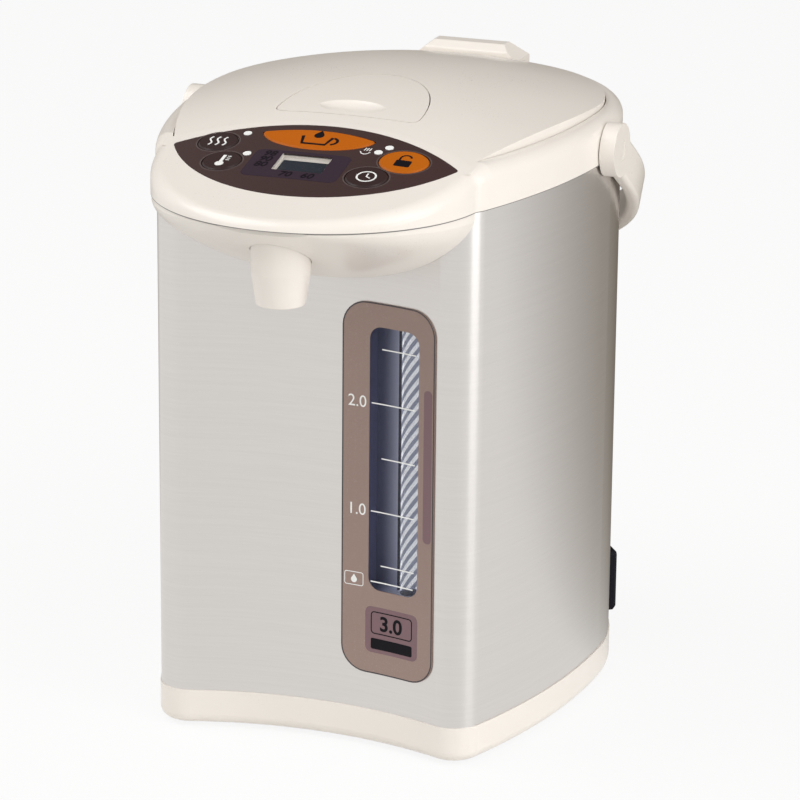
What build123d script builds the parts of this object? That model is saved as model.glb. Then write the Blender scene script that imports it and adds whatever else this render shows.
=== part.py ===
"""Electric thermo pot, three litres: body, lid, panel, pump, level gauge and carrying handle.

Millimetres. +Z is up and the spout faces -Y. The origin is on the table, under the middle
of the pot's bounding box. Plan positions are measured from the axis of the water container.
"""
import os
from math import cos, radians, sin, sqrt

from build123d import *

os.makedirs("parts", exist_ok=True)

# ---------------------------------------------------------------- driving dimensions
# body in plan
HALF_WIDTH = 99.5          # container axis to the widest point of the steel shell
SIDE_RADIUS = 320.0        # bow of each flank
FRONT_DEPTH = 113.0        # container axis to the middle of the hollow front
FRONT_RADIUS = 178.4       # hollow of the front
CORNER_RADIUS = 14.0       # front corners
SHELL_WALL = 1.2           # steel jacket
PLASTIC_WALL = 2.5         # moulded covers
BOARD = 1.6                # circuit boards
CASING_PROUD = 0.5         # plastic stands proud of the steel
NOSE_FILLET = 6.0          # where the nose meets the flanks, in plan

# heights, stacked from the table
FOOT_REACH = 1.5           # feet below the skirt
SKIRT_HEIGHT = 17.0
SHELL_HEIGHT = 241.0
RING_HEIGHT = 20.0         # shoulder ring, steel edge to rim
DECK_RISE = 6.0            # deck under the lid, above the steel edge
DOME_RISE = 15.7           # crown of the lid above the rim

# beak over the spout
NOSE_SETBACK = 1.0         # middle of the nose behind the hollow front
NOSE_INSET = 24.0          # flank of the steel to the side of the nose
NOSE_REACH = 72.5
COVER_DEPTH = 38.5         # how far the lower cover hangs
PANEL_REAR_RISE = 7.3      # beak top above the rim at the lid
PANEL_SLOPE = 14.5         # degrees down to the front
PANEL_CROWN = 975.0        # radius across the panel
RIM_ROUNDING = 6.5

# lid
LID_INSET = 7.5            # body outline to the lid groove
LID_GAP = 0.5
LID_FRONT_Y = -93.0        # middle of the lid's front edge
LID_CORNER_Y = -114.0
LID_REAR_INSET = 16.5      # straight rear edge of the lid beside its hinge, to the steel
DOME_CENTRE_Y = -12.5
DOME_RADIUS = 370.0        # front to back
LID_SKIRT = 12.0           # lid wall below the rim
LID_WALL = 2.5

# hinge of the lid
HINGE_INSET = 9.0          # pin axis inside the steel's back
HINGE_DROP = 2.5           # pin axis below the rim
HINGE_HALF_WIDTH = 26.0
HINGE_PIN_RADIUS = 1.5
HINGE_TOP_RISE = 9.0       # top of the hinge cover above the rim

# release plate in the lid
PLATE_Y = -80.0            # centre of the oval that bounds the plate
PLATE_HALF_WIDTH = 34.0
PLATE_DEPTH = 53.0
PLATE_FRONT_Y = -83.0
PLATE_PIVOT_Y = -33.0
PLATE_THICKNESS = 3.0
PLATE_GAP = 0.5

# control panel
OVERLAY = 0.8              # thickness of the panel sheet
PANEL_INSET = 8.0          # side of the nose to the panel's end
PANEL_END_Y = -120.3
PANEL_REAR_Y = -96.5
PANEL_FRONT_Y = -160.3
KEY_TRAVEL = 1.0
KEY_PROUD = 0.5
BOARD_DEPTH = 10.5         # control board below the panel's surface

# container and the space below it
INSULATION = 20.9          # water to the steel shell
CONTAINER_WALL = 1.0
FLANGE_WIDTH = 3.5
HEATER_INSET = 16.6        # edge of the bracket's opening inside the container's wall

# pump
PUMP_Y = -38.0
PUMP_RADIUS = 20.0
PUMP_STAND = 30.5          # pump above the base plate
PUMP_HEIGHT = 13.0
PUMP_TO_FLOOR = 13.0       # pump's top to the container's floor
MOTOR_RADIUS = 14.0
SHAFT_RADIUS = 1.5
NIPPLE_RADIUS = 5.0

# level gauge
WINDOW_X = 35.0            # middle of the window plate
WINDOW_WIDTH = 47.5
WINDOW_RISE = 18.0         # window plate above the skirt
WINDOW_DROP = 47.0         # window plate below the steel's top
GLASS_X = 37.5
GLASS_WIDTH = 25.5
GLASS_RISE = 40.5          # glass inside the plate, from below and from above
GLASS_DROP = 11.0
PLATE_PROUD = 0.6          # window plate above the steel
TUBE_X = 42.0
TUBE_INSET = 6.5           # tube behind the middle of the hollow front
TUBE_RADIUS = 5.0
TUBE_BORE = 4.0

# power inlet, on the right towards the back
INLET_BEARING = 36.0       # degrees behind the pot's right
INLET_PROUD = 3.5          # face in front of the steel
INLET_LENGTH = 19.5
INLET_WIDTH = 36.0
INLET_HEIGHT = 31.5
INLET_RISE = 1.5           # above the skirt

# spout
SPOUT_REACH = 48.0         # spout's axis in front of the middle of the nose
SPOUT_DROP = 38.5          # spout's mouth below the steel's top
SPOUT_TIP_RADIUS = 11.0
SPOUT_ROOT_RADIUS = 13.2

# handle
HANDLE_STANDOFF = 4.0      # middle of each arm outside the steel
HANDLE_PIVOT_Y = -8.0
HANDLE_DROP = 14.5         # pivot below the rim
HANDLE_SPACE = 10.4        # middle of the folded grip behind the steel
HANDLE_THICKNESS = 6.5
HANDLE_WIDTH = 19.0
HANDLE_TILT = 32.0         # degrees below level when folded back
HANDLE_BOSS_RADIUS = 12.5

# fits
RUNNING_FIT = 0.05         # radial, pins in their bores
SEAT = 0.3                 # small gap between parts that only rest or pass close by
KEY_GAP = 0.35             # round each key

# ---------------------------------------------------------------- levels and datums
SKIRT_TOP = FOOT_REACH + SKIRT_HEIGHT
SHELL_TOP = SKIRT_TOP + SHELL_HEIGHT
RIM = SHELL_TOP + RING_HEIGHT
DECK = SHELL_TOP + DECK_RISE
DOME_TOP = RIM + DOME_RISE
HINGE_Z = RIM - HINGE_DROP
PIVOT_Z = RIM - HANDLE_DROP
FRONT_CENTRE_Y = -FRONT_DEPTH - FRONT_RADIUS
NOSE_Y = NOSE_SETBACK - FRONT_DEPTH
NOSE_HALF_WIDTH = HALF_WIDTH - NOSE_INSET
PANEL_HALF_WIDTH = NOSE_HALF_WIDTH - PANEL_INSET
LID_REAR_Y = HALF_WIDTH - LID_REAR_INSET
HINGE_Y = HALF_WIDTH - HINGE_INSET
CONTAINER_RADIUS = HALF_WIDTH - INSULATION
SPOUT_Y = NOSE_Y - SPOUT_REACH
SPOUT_TIP_Z = SHELL_TOP - SPOUT_DROP
WINDOW_BOTTOM = SKIRT_TOP + WINDOW_RISE
WINDOW_TOP = SHELL_TOP - WINDOW_DROP
GLASS_BOTTOM = WINDOW_BOTTOM + GLASS_RISE
GLASS_TOP = WINDOW_TOP - GLASS_DROP
TUBE_Y = TUBE_INSET - FRONT_DEPTH
NOSE_TIP = NOSE_REACH - NOSE_Y

HANDLE_X = HALF_WIDTH + HANDLE_STANDOFF
HANDLE_LENGTH = (HALF_WIDTH + HANDLE_SPACE - HANDLE_PIVOT_Y) / cos(radians(HANDLE_TILT))
HANDLE_REACH = (HANDLE_LENGTH + HANDLE_THICKNESS / 2) * cos(radians(HANDLE_TILT))
HANDLE_REACH += HANDLE_PIVOT_Y + HANDLE_WIDTH / 2 * sin(radians(HANDLE_TILT))
AXIS_Y = (NOSE_TIP - HANDLE_REACH) / 2    # container axis, so that the box is centred


def level(z):
    """Horizontal plane at height z, with its origin on the container axis."""
    return Plane((0, AXIS_Y, z))


def across(y):
    """Upright plane facing the spout, at distance y from the container axis; v is up."""
    return Plane((0, AXIS_Y + y, 0), x_dir=(1, 0, 0), z_dir=(0, -1, 0))


def along(x):
    """Upright plane along the pot at x; u runs to the back and v is up."""
    return Plane((x, AXIS_Y, 0), x_dir=(0, 1, 0), z_dir=(1, 0, 0))


def save(builder, name):
    """Label a finished piece and write it as its own STEP file."""
    builder.part.label = name
    export_step(builder.part, f"parts/{name}.step")


# ---------------------------------------------------------------- shared outlines
def body_profile(grow=0.0):
    """Body in plan: round back, bowed flanks and a hollow front, grown outward by grow."""
    with BuildSketch() as profile:
        with Locations((HALF_WIDTH - SIDE_RADIUS, 0)):
            Circle(SIDE_RADIUS + grow)
        with Locations((SIDE_RADIUS - HALF_WIDTH, 0)):
            Circle(SIDE_RADIUS + grow, mode=Mode.INTERSECT)
        Rectangle(4 * HALF_WIDTH, 4 * HALF_WIDTH, align=(Align.CENTER, Align.MAX),
                  mode=Mode.INTERSECT)
        with Locations((0, FRONT_CENTRE_Y)):
            Circle(FRONT_RADIUS - grow, mode=Mode.SUBTRACT)
        fillet(profile.vertices().group_by(Axis.Y)[0], CORNER_RADIUS + grow)
        Circle(HALF_WIDTH + grow)
    return profile.sketch


def casing_profile(grow=0.0):
    """Body outline joined to the oval nose over the spout."""
    with BuildSketch() as profile:
        add(body_profile(grow))
        with Locations((0, NOSE_Y)):
            Ellipse(NOSE_HALF_WIDTH + grow, NOSE_REACH + grow)
        fillet(profile.vertices().sort_by(Axis.Y)[:2], NOSE_FILLET)
    return profile.sketch


def lid_profile(shrink=0.0):
    """Lid in plan: parallel to the body, with a front edge that curves back to the middle."""
    edge = LID_INSET + shrink
    with BuildSketch() as profile:
        with Locations((HALF_WIDTH - SIDE_RADIUS, 0)):
            Circle(SIDE_RADIUS - edge)
        with Locations((SIDE_RADIUS - HALF_WIDTH, 0)):
            Circle(SIDE_RADIUS - edge, mode=Mode.INTERSECT)
        Rectangle(4 * HALF_WIDTH, 4 * HALF_WIDTH, align=(Align.CENTER, Align.MAX),
                  mode=Mode.INTERSECT)
        Circle(HALF_WIDTH - edge)
        with Locations((0, LID_FRONT_Y - LID_FRONT_RADIUS)):
            Circle(LID_FRONT_RADIUS + shrink, mode=Mode.SUBTRACT)
    return profile.sketch


def lid_plan(shrink=0.0):
    """Outline of the lid itself, drawn in by shrink, with its straight rear edge."""
    with BuildSketch() as profile:
        add(lid_profile(LID_GAP + shrink))
        with Locations((0, LID_REAR_Y - shrink)):
            Rectangle(4 * HALF_WIDTH, 4 * HALF_WIDTH, align=(Align.CENTER, Align.MAX),
                      mode=Mode.INTERSECT)
    return profile.sketch


def flank(y):
    """Half-width of the steel body at distance y in front of the container axis."""
    return sqrt(SIDE_RADIUS**2 - y**2) - SIDE_RADIUS + HALF_WIDTH


LID_CORNER_X = flank(LID_CORNER_Y) - LID_INSET
LID_SAG = LID_FRONT_Y - LID_CORNER_Y
LID_FRONT_RADIUS = (LID_CORNER_X**2 + LID_SAG**2) / (2 * LID_SAG)


# ---------------------------------------------------------------- shared surfaces
CROWN_STATIONS = ((-130, 1150), (-95, 700), (-60, 450), (DOME_CENTRE_Y, 345),
                  (40, 340), (100, 340))


def dome_height(y):
    """Height of the lid's centre line at distance y from the container axis."""
    return DOME_TOP - DOME_RADIUS + sqrt(DOME_RADIUS**2 - (y - DOME_CENTRE_Y)**2)


def dome_form(drop=0.0):
    """Block under the crowned lid surface, lowered by drop; its sides lie outside the lid."""
    half = 1.05 * HALF_WIDTH
    floor = SHELL_TOP - RING_HEIGHT
    with BuildPart() as form:
        for y, crown in CROWN_STATIONS:
            top = dome_height(y) - drop
            edge = top - crown + sqrt(crown**2 - half**2)
            with BuildSketch(across(y)):
                with BuildLine():
                    ThreePointArc((-half, edge), (0, top), (half, edge))
                    Polyline((half, edge), (half, floor), (-half, floor), (-half, edge))
                make_face()
        loft()
    return form.part


PANEL_PLANE = Plane((0, AXIS_Y + LID_FRONT_Y, RIM + PANEL_REAR_RISE), x_dir=(1, 0, 0),
                    z_dir=(0, -sin(radians(PANEL_SLOPE)), cos(radians(PANEL_SLOPE))))


def panel_form(drop=0.0):
    """Log whose crown is the top of the beak, lowered by drop along the panel's normal."""
    section = Plane(PANEL_PLANE.origin, x_dir=(1, 0, 0), z_dir=PANEL_PLANE.y_dir)
    depth = 120.0
    half = 1.6 * NOSE_HALF_WIDTH
    edge = sqrt(PANEL_CROWN**2 - half**2) - PANEL_CROWN - drop
    with BuildPart() as form:
        with BuildSketch(section):
            with BuildLine():
                ThreePointArc((-half, -edge), (0, drop), (half, -edge))
                Polyline((half, -edge), (half, depth), (-half, depth), (-half, -edge))
            make_face()
        extrude(amount=3 * NOSE_REACH, both=True)
    return form.part


# ---------------------------------------------------------------- base
DECK_WALL = 4.0
PLATE_SEAT = FOOT_REACH + PLASTIC_WALL      # base plate on the skirt's inner flange
BASE_TOP = PLATE_SEAT + PLASTIC_WALL
FOOT_RADIUS = 9.0
FOOT_FRONT_Y = 23.0 - FRONT_DEPTH
FOOT_FRONT_X = HALF_WIDTH - 39.5
FOOT_CIRCLE = HALF_WIDTH - 19.0
FOOT_BEARING = 55.0        # rear feet, from the pot's right
SKIRT_ROUNDING = 5.0
LEG_RADIUS = 5.0
LEG_CIRCLE = CONTAINER_RADIUS - 4.0
LEG_BEARINGS = (-30, 45, 135, 210)
POWER_BOARD_Z = BASE_TOP + 7.5
POWER_BOARD_Y = HALF_WIDTH - 44.5
POWER_BOARD_WIDTH = 80.0
POWER_BOARD_DEPTH = 50.0
BOARD_POST_INSET = 4.0     # post centres inside the board's edges
POST_RADIUS = 3.0
SCREW_RADIUS = 1.8
SCREW_HEAD_RADIUS = 3.6
SCREW_HEAD_HEIGHT = 2.0
SCREW_LENGTH = 16.0


def polar(radius, *bearings):
    """Plan positions at radius from the container axis, bearings from the pot's right."""
    return [(radius * cos(radians(b)), radius * sin(radians(b))) for b in bearings]


LEG_SPOTS = polar(LEG_CIRCLE, *LEG_BEARINGS)
FOOT_SPOTS = [(-FOOT_FRONT_X, FOOT_FRONT_Y), (FOOT_FRONT_X, FOOT_FRONT_Y),
              *polar(FOOT_CIRCLE, FOOT_BEARING, 180 - FOOT_BEARING)]

with BuildPart() as base_skirt:
    with BuildSketch(level(FOOT_REACH)):
        add(body_profile(CASING_PROUD))
    extrude(amount=SKIRT_HEIGHT)
    fillet(base_skirt.faces().sort_by(Axis.Z)[0].edges(), SKIRT_ROUNDING)
    with BuildSketch(level(FOOT_REACH)):
        add(body_profile(-3 * PLASTIC_WALL))
    extrude(amount=PLASTIC_WALL, mode=Mode.SUBTRACT)
    with BuildSketch(level(PLATE_SEAT)):
        add(body_profile(-PLASTIC_WALL))
    extrude(amount=SKIRT_HEIGHT, mode=Mode.SUBTRACT)
save(base_skirt, "base_skirt")

with BuildPart() as base_plate:
    with BuildSketch(level(PLATE_SEAT)):
        add(body_profile(-PLASTIC_WALL - SEAT))
        with Locations(*LEG_SPOTS):
            Circle(SCREW_RADIUS + SEAT, mode=Mode.SUBTRACT)
    extrude(amount=PLASTIC_WALL)
    with BuildSketch(level(BASE_TOP)):                           # posts for the power board
        with Locations((0, POWER_BOARD_Y)):
            with GridLocations(POWER_BOARD_WIDTH - 2 * BOARD_POST_INSET,
                               POWER_BOARD_DEPTH - 2 * BOARD_POST_INSET, 2, 2):
                Circle(POST_RADIUS)
    extrude(amount=POWER_BOARD_Z - BASE_TOP)
save(base_plate, "base_plate")

with BuildPart() as rubber_feet:
    with BuildSketch(level(0)):
        with Locations(*FOOT_SPOTS):
            Circle(FOOT_RADIUS)
    extrude(amount=PLATE_SEAT)
    fillet(rubber_feet.edges().group_by(Axis.Z)[0], 0.8)
save(rubber_feet, "rubber_feet")

with BuildPart() as base_screws:
    with BuildSketch(level(PLATE_SEAT - SCREW_HEAD_HEIGHT)):
        with Locations(*LEG_SPOTS):
            Circle(SCREW_HEAD_RADIUS)
    extrude(amount=SCREW_HEAD_HEIGHT)
    with BuildSketch(level(PLATE_SEAT)):
        with Locations(*LEG_SPOTS):
            Circle(SCREW_RADIUS)
    extrude(amount=SCREW_LENGTH)
    with BuildSketch(level(PLATE_SEAT - SCREW_HEAD_HEIGHT)):     # cross slots
        with Locations(*LEG_SPOTS):
            Rectangle(1.2 * SCREW_HEAD_RADIUS, SCREW_RADIUS / 2)
            Rectangle(SCREW_RADIUS / 2, 1.2 * SCREW_HEAD_RADIUS)
    extrude(amount=SCREW_HEAD_HEIGHT / 2, mode=Mode.SUBTRACT)
save(base_screws, "base_screws")

# ---------------------------------------------------------------- container and its bracket
PUMP_BOTTOM = BASE_TOP + PUMP_STAND
PUMP_TOP = PUMP_BOTTOM + PUMP_HEIGHT
OUTLET_INSET = 6.0         # outlet stub inside the pump's side
PUMP_X = TUBE_X + OUTLET_INSET - PUMP_RADIUS
CONTAINER_FLOOR_Z = PUMP_TOP + PUMP_TO_FLOOR
CONTAINER_OUTER = CONTAINER_RADIUS + CONTAINER_WALL
HEATER_RADIUS = CONTAINER_RADIUS - HEATER_INSET
CONTAINER_BOTTOM = CONTAINER_FLOOR_Z - CONTAINER_WALL
BRACKET_WALL = 1.5
FLOOR_ROUNDING = 8.0
NIPPLE_DROP = 7.0
NIPPLE_BORE = NIPPLE_RADIUS - 1.5
BRACKET_MARGIN = 2.0       # bracket ring beyond the container
HEATER_THICKNESS = 3.0
HEATER_GAP = 3.0           # bracket to heater, and heater to nipple
HUB_RADIUS = 28.0          # raised ring under the heater, round the sensor
HUB_BORE = 20.0
SENSOR_RADIUS = 7.0
SENSOR_DROP = 9.0

with BuildPart() as container_bracket:
    with BuildSketch(level(CONTAINER_BOTTOM - BRACKET_WALL)):
        Circle(CONTAINER_OUTER + BRACKET_MARGIN)
        Circle(HEATER_RADIUS + HEATER_GAP, mode=Mode.SUBTRACT)
    extrude(amount=BRACKET_WALL)
    with BuildSketch(level(BASE_TOP)):
        with Locations(*LEG_SPOTS):
            Circle(LEG_RADIUS)
            Circle(SCREW_RADIUS + RUNNING_FIT, mode=Mode.SUBTRACT)
    extrude(amount=CONTAINER_BOTTOM - BRACKET_WALL - BASE_TOP)
save(container_bracket, "container_bracket")

with BuildPart() as water_space:
    with BuildSketch(level(CONTAINER_FLOOR_Z)):
        Circle(CONTAINER_RADIUS)
    extrude(amount=DECK)
    fillet(water_space.faces().sort_by(Axis.Z)[0].edges(), FLOOR_ROUNDING)

with BuildPart() as inner_container:
    with BuildSketch(level(CONTAINER_BOTTOM)):
        Circle(CONTAINER_OUTER)
    extrude(amount=DECK - CONTAINER_BOTTOM)
    fillet(inner_container.faces().sort_by(Axis.Z)[0].edges(), FLOOR_ROUNDING + CONTAINER_WALL)
    with BuildSketch(level(DECK)):
        Circle(CONTAINER_OUTER + FLANGE_WIDTH)
    extrude(amount=CONTAINER_WALL)
    add(water_space.part, mode=Mode.SUBTRACT)
    with BuildSketch(level(CONTAINER_BOTTOM - NIPPLE_DROP)):
        with Locations((PUMP_X, PUMP_Y)):
            Circle(NIPPLE_RADIUS)
    extrude(amount=NIPPLE_DROP)
    with BuildSketch(level(CONTAINER_BOTTOM - NIPPLE_DROP)):
        with Locations((PUMP_X, PUMP_Y)):
            Circle(NIPPLE_BORE)
    extrude(amount=NIPPLE_DROP + 2 * CONTAINER_WALL, mode=Mode.SUBTRACT)
save(inner_container, "inner_container")

with BuildPart() as heater_plate:
    with BuildSketch(level(CONTAINER_BOTTOM - HEATER_THICKNESS)):
        Circle(HEATER_RADIUS - HEATER_GAP)
        with Locations((PUMP_X, PUMP_Y)):
            Circle(NIPPLE_RADIUS + HEATER_GAP + 1, mode=Mode.SUBTRACT)
    extrude(amount=HEATER_THICKNESS)
    with BuildSketch(level(CONTAINER_BOTTOM - 2 * HEATER_THICKNESS)):
        Circle(HUB_RADIUS)
        Circle(HUB_BORE, mode=Mode.SUBTRACT)
    extrude(amount=HEATER_THICKNESS)
save(heater_plate, "heater_plate")

with BuildPart() as temperature_sensor:
    with BuildSketch(level(CONTAINER_BOTTOM - SENSOR_DROP)):
        Circle(SENSOR_RADIUS)
    extrude(amount=SENSOR_DROP - HEATER_THICKNESS)
    chamfer(temperature_sensor.faces().sort_by(Axis.Z)[0].edges(), 1)
save(temperature_sensor, "temperature_sensor")

# ---------------------------------------------------------------- pump and its drive
PUMP_WALL = 2.0
IMPELLER_RADIUS = PUMP_RADIUS - PUMP_WALL - 1.5
IMPELLER_DISC = 2.0
BLADE_HEIGHT = 4.0
BLADE_THICKNESS = 1.4
BLADE_LEAN = 25.0          # degrees from radial
BLADES = 6
IMPELLER_HUB = 4.0
IMPELLER_PIN = 5.0
MAGNET_TOP = PUMP_BOTTOM - 0.8
MAGNET_THICKNESS = 4.0
MOTOR_TOP = MAGNET_TOP - MAGNET_THICKNESS - 1.5
MOTOR_BORE = 12.0
MOTOR_POST_RADIUS = 2.6
MOTOR_POST_SPAN = 2 * PUMP_RADIUS - 6
MOTOR_BAR_HEIGHT = 4.0
OUTLET_REACH = PUMP_RADIUS + 12
INLET_STUB = CONTAINER_BOTTOM - NIPPLE_DROP - 1.5 - PUMP_TOP
ELBOW_Z = PUMP_BOTTOM + PUMP_HEIGHT / 2
SLEEVE_WALL = 2.0


def pump_level(z):
    """Horizontal plane at height z, centred on the pump's shaft."""
    return Plane((PUMP_X, AXIS_Y + PUMP_Y, z))


OUTLET_PLANE = Plane((TUBE_X, AXIS_Y + PUMP_Y, ELBOW_Z), x_dir=(1, 0, 0), z_dir=(0, -1, 0))


with BuildPart() as pump_housing:
    with BuildSketch(pump_level(PUMP_BOTTOM)):
        Circle(PUMP_RADIUS)
    extrude(amount=PUMP_HEIGHT)
    with BuildSketch(OUTLET_PLANE):
        Circle(NIPPLE_RADIUS)
    extrude(amount=OUTLET_REACH)
    with BuildSketch(pump_level(PUMP_BOTTOM + PUMP_WALL)):
        Circle(PUMP_RADIUS - PUMP_WALL)
    extrude(amount=PUMP_HEIGHT - 2 * PUMP_WALL, mode=Mode.SUBTRACT)
    with BuildSketch(OUTLET_PLANE):
        Circle(NIPPLE_BORE)
    extrude(amount=OUTLET_REACH, mode=Mode.SUBTRACT)
    with BuildSketch(pump_level(PUMP_TOP)):
        Circle(NIPPLE_RADIUS)
    extrude(amount=INLET_STUB)
    with BuildSketch(pump_level(PUMP_TOP - PUMP_WALL)):
        Circle(NIPPLE_BORE)
    extrude(amount=PUMP_WALL + INLET_STUB, mode=Mode.SUBTRACT)
    with BuildSketch(pump_level(PUMP_BOTTOM + PUMP_WALL)):
        Circle(SHAFT_RADIUS)
    extrude(amount=IMPELLER_PIN)
save(pump_housing, "pump_housing")

with BuildPart() as pump_impeller:
    with BuildSketch(pump_level(PUMP_BOTTOM + PUMP_WALL + SEAT)):
        Circle(IMPELLER_RADIUS)
    extrude(amount=IMPELLER_DISC)
    with BuildSketch(pump_level(PUMP_BOTTOM + PUMP_WALL + SEAT + IMPELLER_DISC)):
        Circle(IMPELLER_HUB)
        with PolarLocations(IMPELLER_RADIUS / 2 + 1, BLADES):
            Rectangle(IMPELLER_RADIUS - 2, BLADE_THICKNESS, rotation=BLADE_LEAN)
        Circle(IMPELLER_RADIUS, mode=Mode.INTERSECT)
    extrude(amount=BLADE_HEIGHT)
    with BuildSketch(pump_level(PUMP_BOTTOM)):
        Circle(SHAFT_RADIUS + RUNNING_FIT)
    extrude(amount=PUMP_HEIGHT, mode=Mode.SUBTRACT)
save(pump_impeller, "pump_impeller")

with BuildPart() as pump_motor:
    with BuildSketch(pump_level(BASE_TOP)):
        Circle(MOTOR_RADIUS)
    extrude(amount=MOTOR_TOP - BASE_TOP)
    chamfer(pump_motor.edges().filter_by(GeomType.CIRCLE), 1.0)
    with BuildSketch(pump_level(BASE_TOP)):
        with GridLocations(MOTOR_POST_SPAN, 1, 2, 1):
            Circle(MOTOR_POST_RADIUS)
    extrude(amount=PUMP_BOTTOM - BASE_TOP)
    with BuildSketch(pump_level(BASE_TOP)):
        Rectangle(MOTOR_POST_SPAN, MOTOR_POST_RADIUS)
    extrude(amount=MOTOR_BAR_HEIGHT)
    with BuildSketch(pump_level(MOTOR_TOP - MOTOR_BORE)):
        Circle(SHAFT_RADIUS + RUNNING_FIT)
    extrude(amount=MOTOR_BORE, mode=Mode.SUBTRACT)
save(pump_motor, "pump_motor")

with BuildPart() as drive_magnet:
    with BuildSketch(pump_level(MAGNET_TOP - MAGNET_THICKNESS)):
        Circle(MOTOR_RADIUS - 1)
    extrude(amount=MAGNET_THICKNESS)
    with BuildSketch(pump_level(MOTOR_TOP - MOTOR_BORE + 1)):
        Circle(SHAFT_RADIUS)
    extrude(amount=MAGNET_TOP - MOTOR_TOP + MOTOR_BORE - 2)
save(drive_magnet, "drive_magnet")

with BuildPart() as suction_sleeve:
    with BuildSketch(pump_level(PUMP_TOP)):
        Circle(NIPPLE_RADIUS + SLEEVE_WALL)
        Circle(NIPPLE_RADIUS + RUNNING_FIT, mode=Mode.SUBTRACT)
    extrude(amount=CONTAINER_BOTTOM - PUMP_TOP - SEAT)
save(suction_sleeve, "suction_sleeve")

# ---------------------------------------------------------------- steel shell and power inlet
INLET_MIDDLE = SKIRT_TOP + INLET_RISE + INLET_HEIGHT / 2
INLET_REACH = HALF_WIDTH + INLET_PROUD
INLET_CORNER = 3.0
INLET_BACK = INLET_REACH - INLET_LENGTH
INLET_SOCKET = 9.0                      # depth of the socket
INLET_FRAME = 5.0                       # rim beside the socket
PIN_SPACING = 11.0
PIN_RADIUS = 1.5
GLASS_CORNER = 6.0
GLASS_HOLE = 3.0                        # hole in the steel beyond the glass
FRONT_CUT_Y = -FRONT_DEPTH + 8          # start of cuts through the hollow front
FRONT_CUT = 30.0
HOSE_SLOT_WIDTH = 100.0
HOSE_SLOT_HEIGHT = 28.0


def inlet_plane(reach):
    """Upright plane across the inlet, facing outward, at distance reach from the axis."""
    turn = radians(INLET_BEARING)
    return Plane((reach * cos(turn), AXIS_Y + reach * sin(turn), INLET_MIDDLE),
                 x_dir=(-sin(turn), cos(turn), 0), z_dir=(cos(turn), sin(turn), 0))


def glass_block(grow):
    """Prism through the front in the shape of the gauge's glass, grown by grow."""
    with BuildPart() as block:
        with BuildSketch(across(FRONT_CUT_Y)):
            with Locations((GLASS_X, (GLASS_BOTTOM + GLASS_TOP) / 2)):
                RectangleRounded(GLASS_WIDTH + 2 * grow, GLASS_TOP - GLASS_BOTTOM + 2 * grow,
                                 GLASS_CORNER + grow)
        extrude(amount=FRONT_CUT)
    return block.part


with BuildPart() as outer_shell:
    with BuildSketch(level(SKIRT_TOP)):
        add(body_profile())
        add(body_profile(-SHELL_WALL), mode=Mode.SUBTRACT)
    extrude(amount=SHELL_HEIGHT)
    add(glass_block(GLASS_HOLE), mode=Mode.SUBTRACT)
    with BuildSketch(inlet_plane(INLET_BACK)):
        RectangleRounded(INLET_WIDTH + 2 * RUNNING_FIT, INLET_HEIGHT + 2 * RUNNING_FIT,
                         INLET_CORNER)
    extrude(amount=FRONT_CUT, mode=Mode.SUBTRACT)
    with BuildSketch(across(FRONT_CUT_Y)):                       # way out for the hose
        with Locations((0, SHELL_TOP)):
            SlotOverall(HOSE_SLOT_WIDTH, HOSE_SLOT_HEIGHT)
    extrude(amount=FRONT_CUT, mode=Mode.SUBTRACT)
save(outer_shell, "outer_shell")

with BuildPart() as power_inlet:
    with BuildSketch(inlet_plane(INLET_BACK)):
        RectangleRounded(INLET_WIDTH, INLET_HEIGHT, INLET_CORNER)
    extrude(amount=INLET_REACH - INLET_BACK)
    chamfer(power_inlet.faces().sort_by(Axis((0, 0, 0), inlet_plane(0).z_dir))[-1].edges(), 1.5)
    with BuildSketch(inlet_plane(INLET_REACH)):
        RectangleRounded(INLET_WIDTH - 2 * INLET_FRAME, INLET_HEIGHT - 2 * INLET_FRAME - 3,
                         INLET_CORNER + 1)
    extrude(amount=-INLET_SOCKET, mode=Mode.SUBTRACT)
    with BuildSketch(inlet_plane(INLET_BACK)):
        with GridLocations(PIN_SPACING, 1, 2, 1):
            Circle(PIN_RADIUS + RUNNING_FIT)
    extrude(amount=INLET_REACH - INLET_BACK - INLET_SOCKET + 1, mode=Mode.SUBTRACT)
save(power_inlet, "power_inlet")

with BuildPart() as inlet_pins:
    with BuildSketch(inlet_plane(INLET_BACK - 4)):
        with GridLocations(PIN_SPACING, 1, 2, 1):
            Circle(PIN_RADIUS)
    extrude(amount=INLET_REACH - INLET_BACK + 2)
    fillet(inlet_pins.faces().sort_by(Axis((0, 0, 0), inlet_plane(0).z_dir))[-2:].edges(), 0.6)
save(inlet_pins, "inlet_pins")

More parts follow.
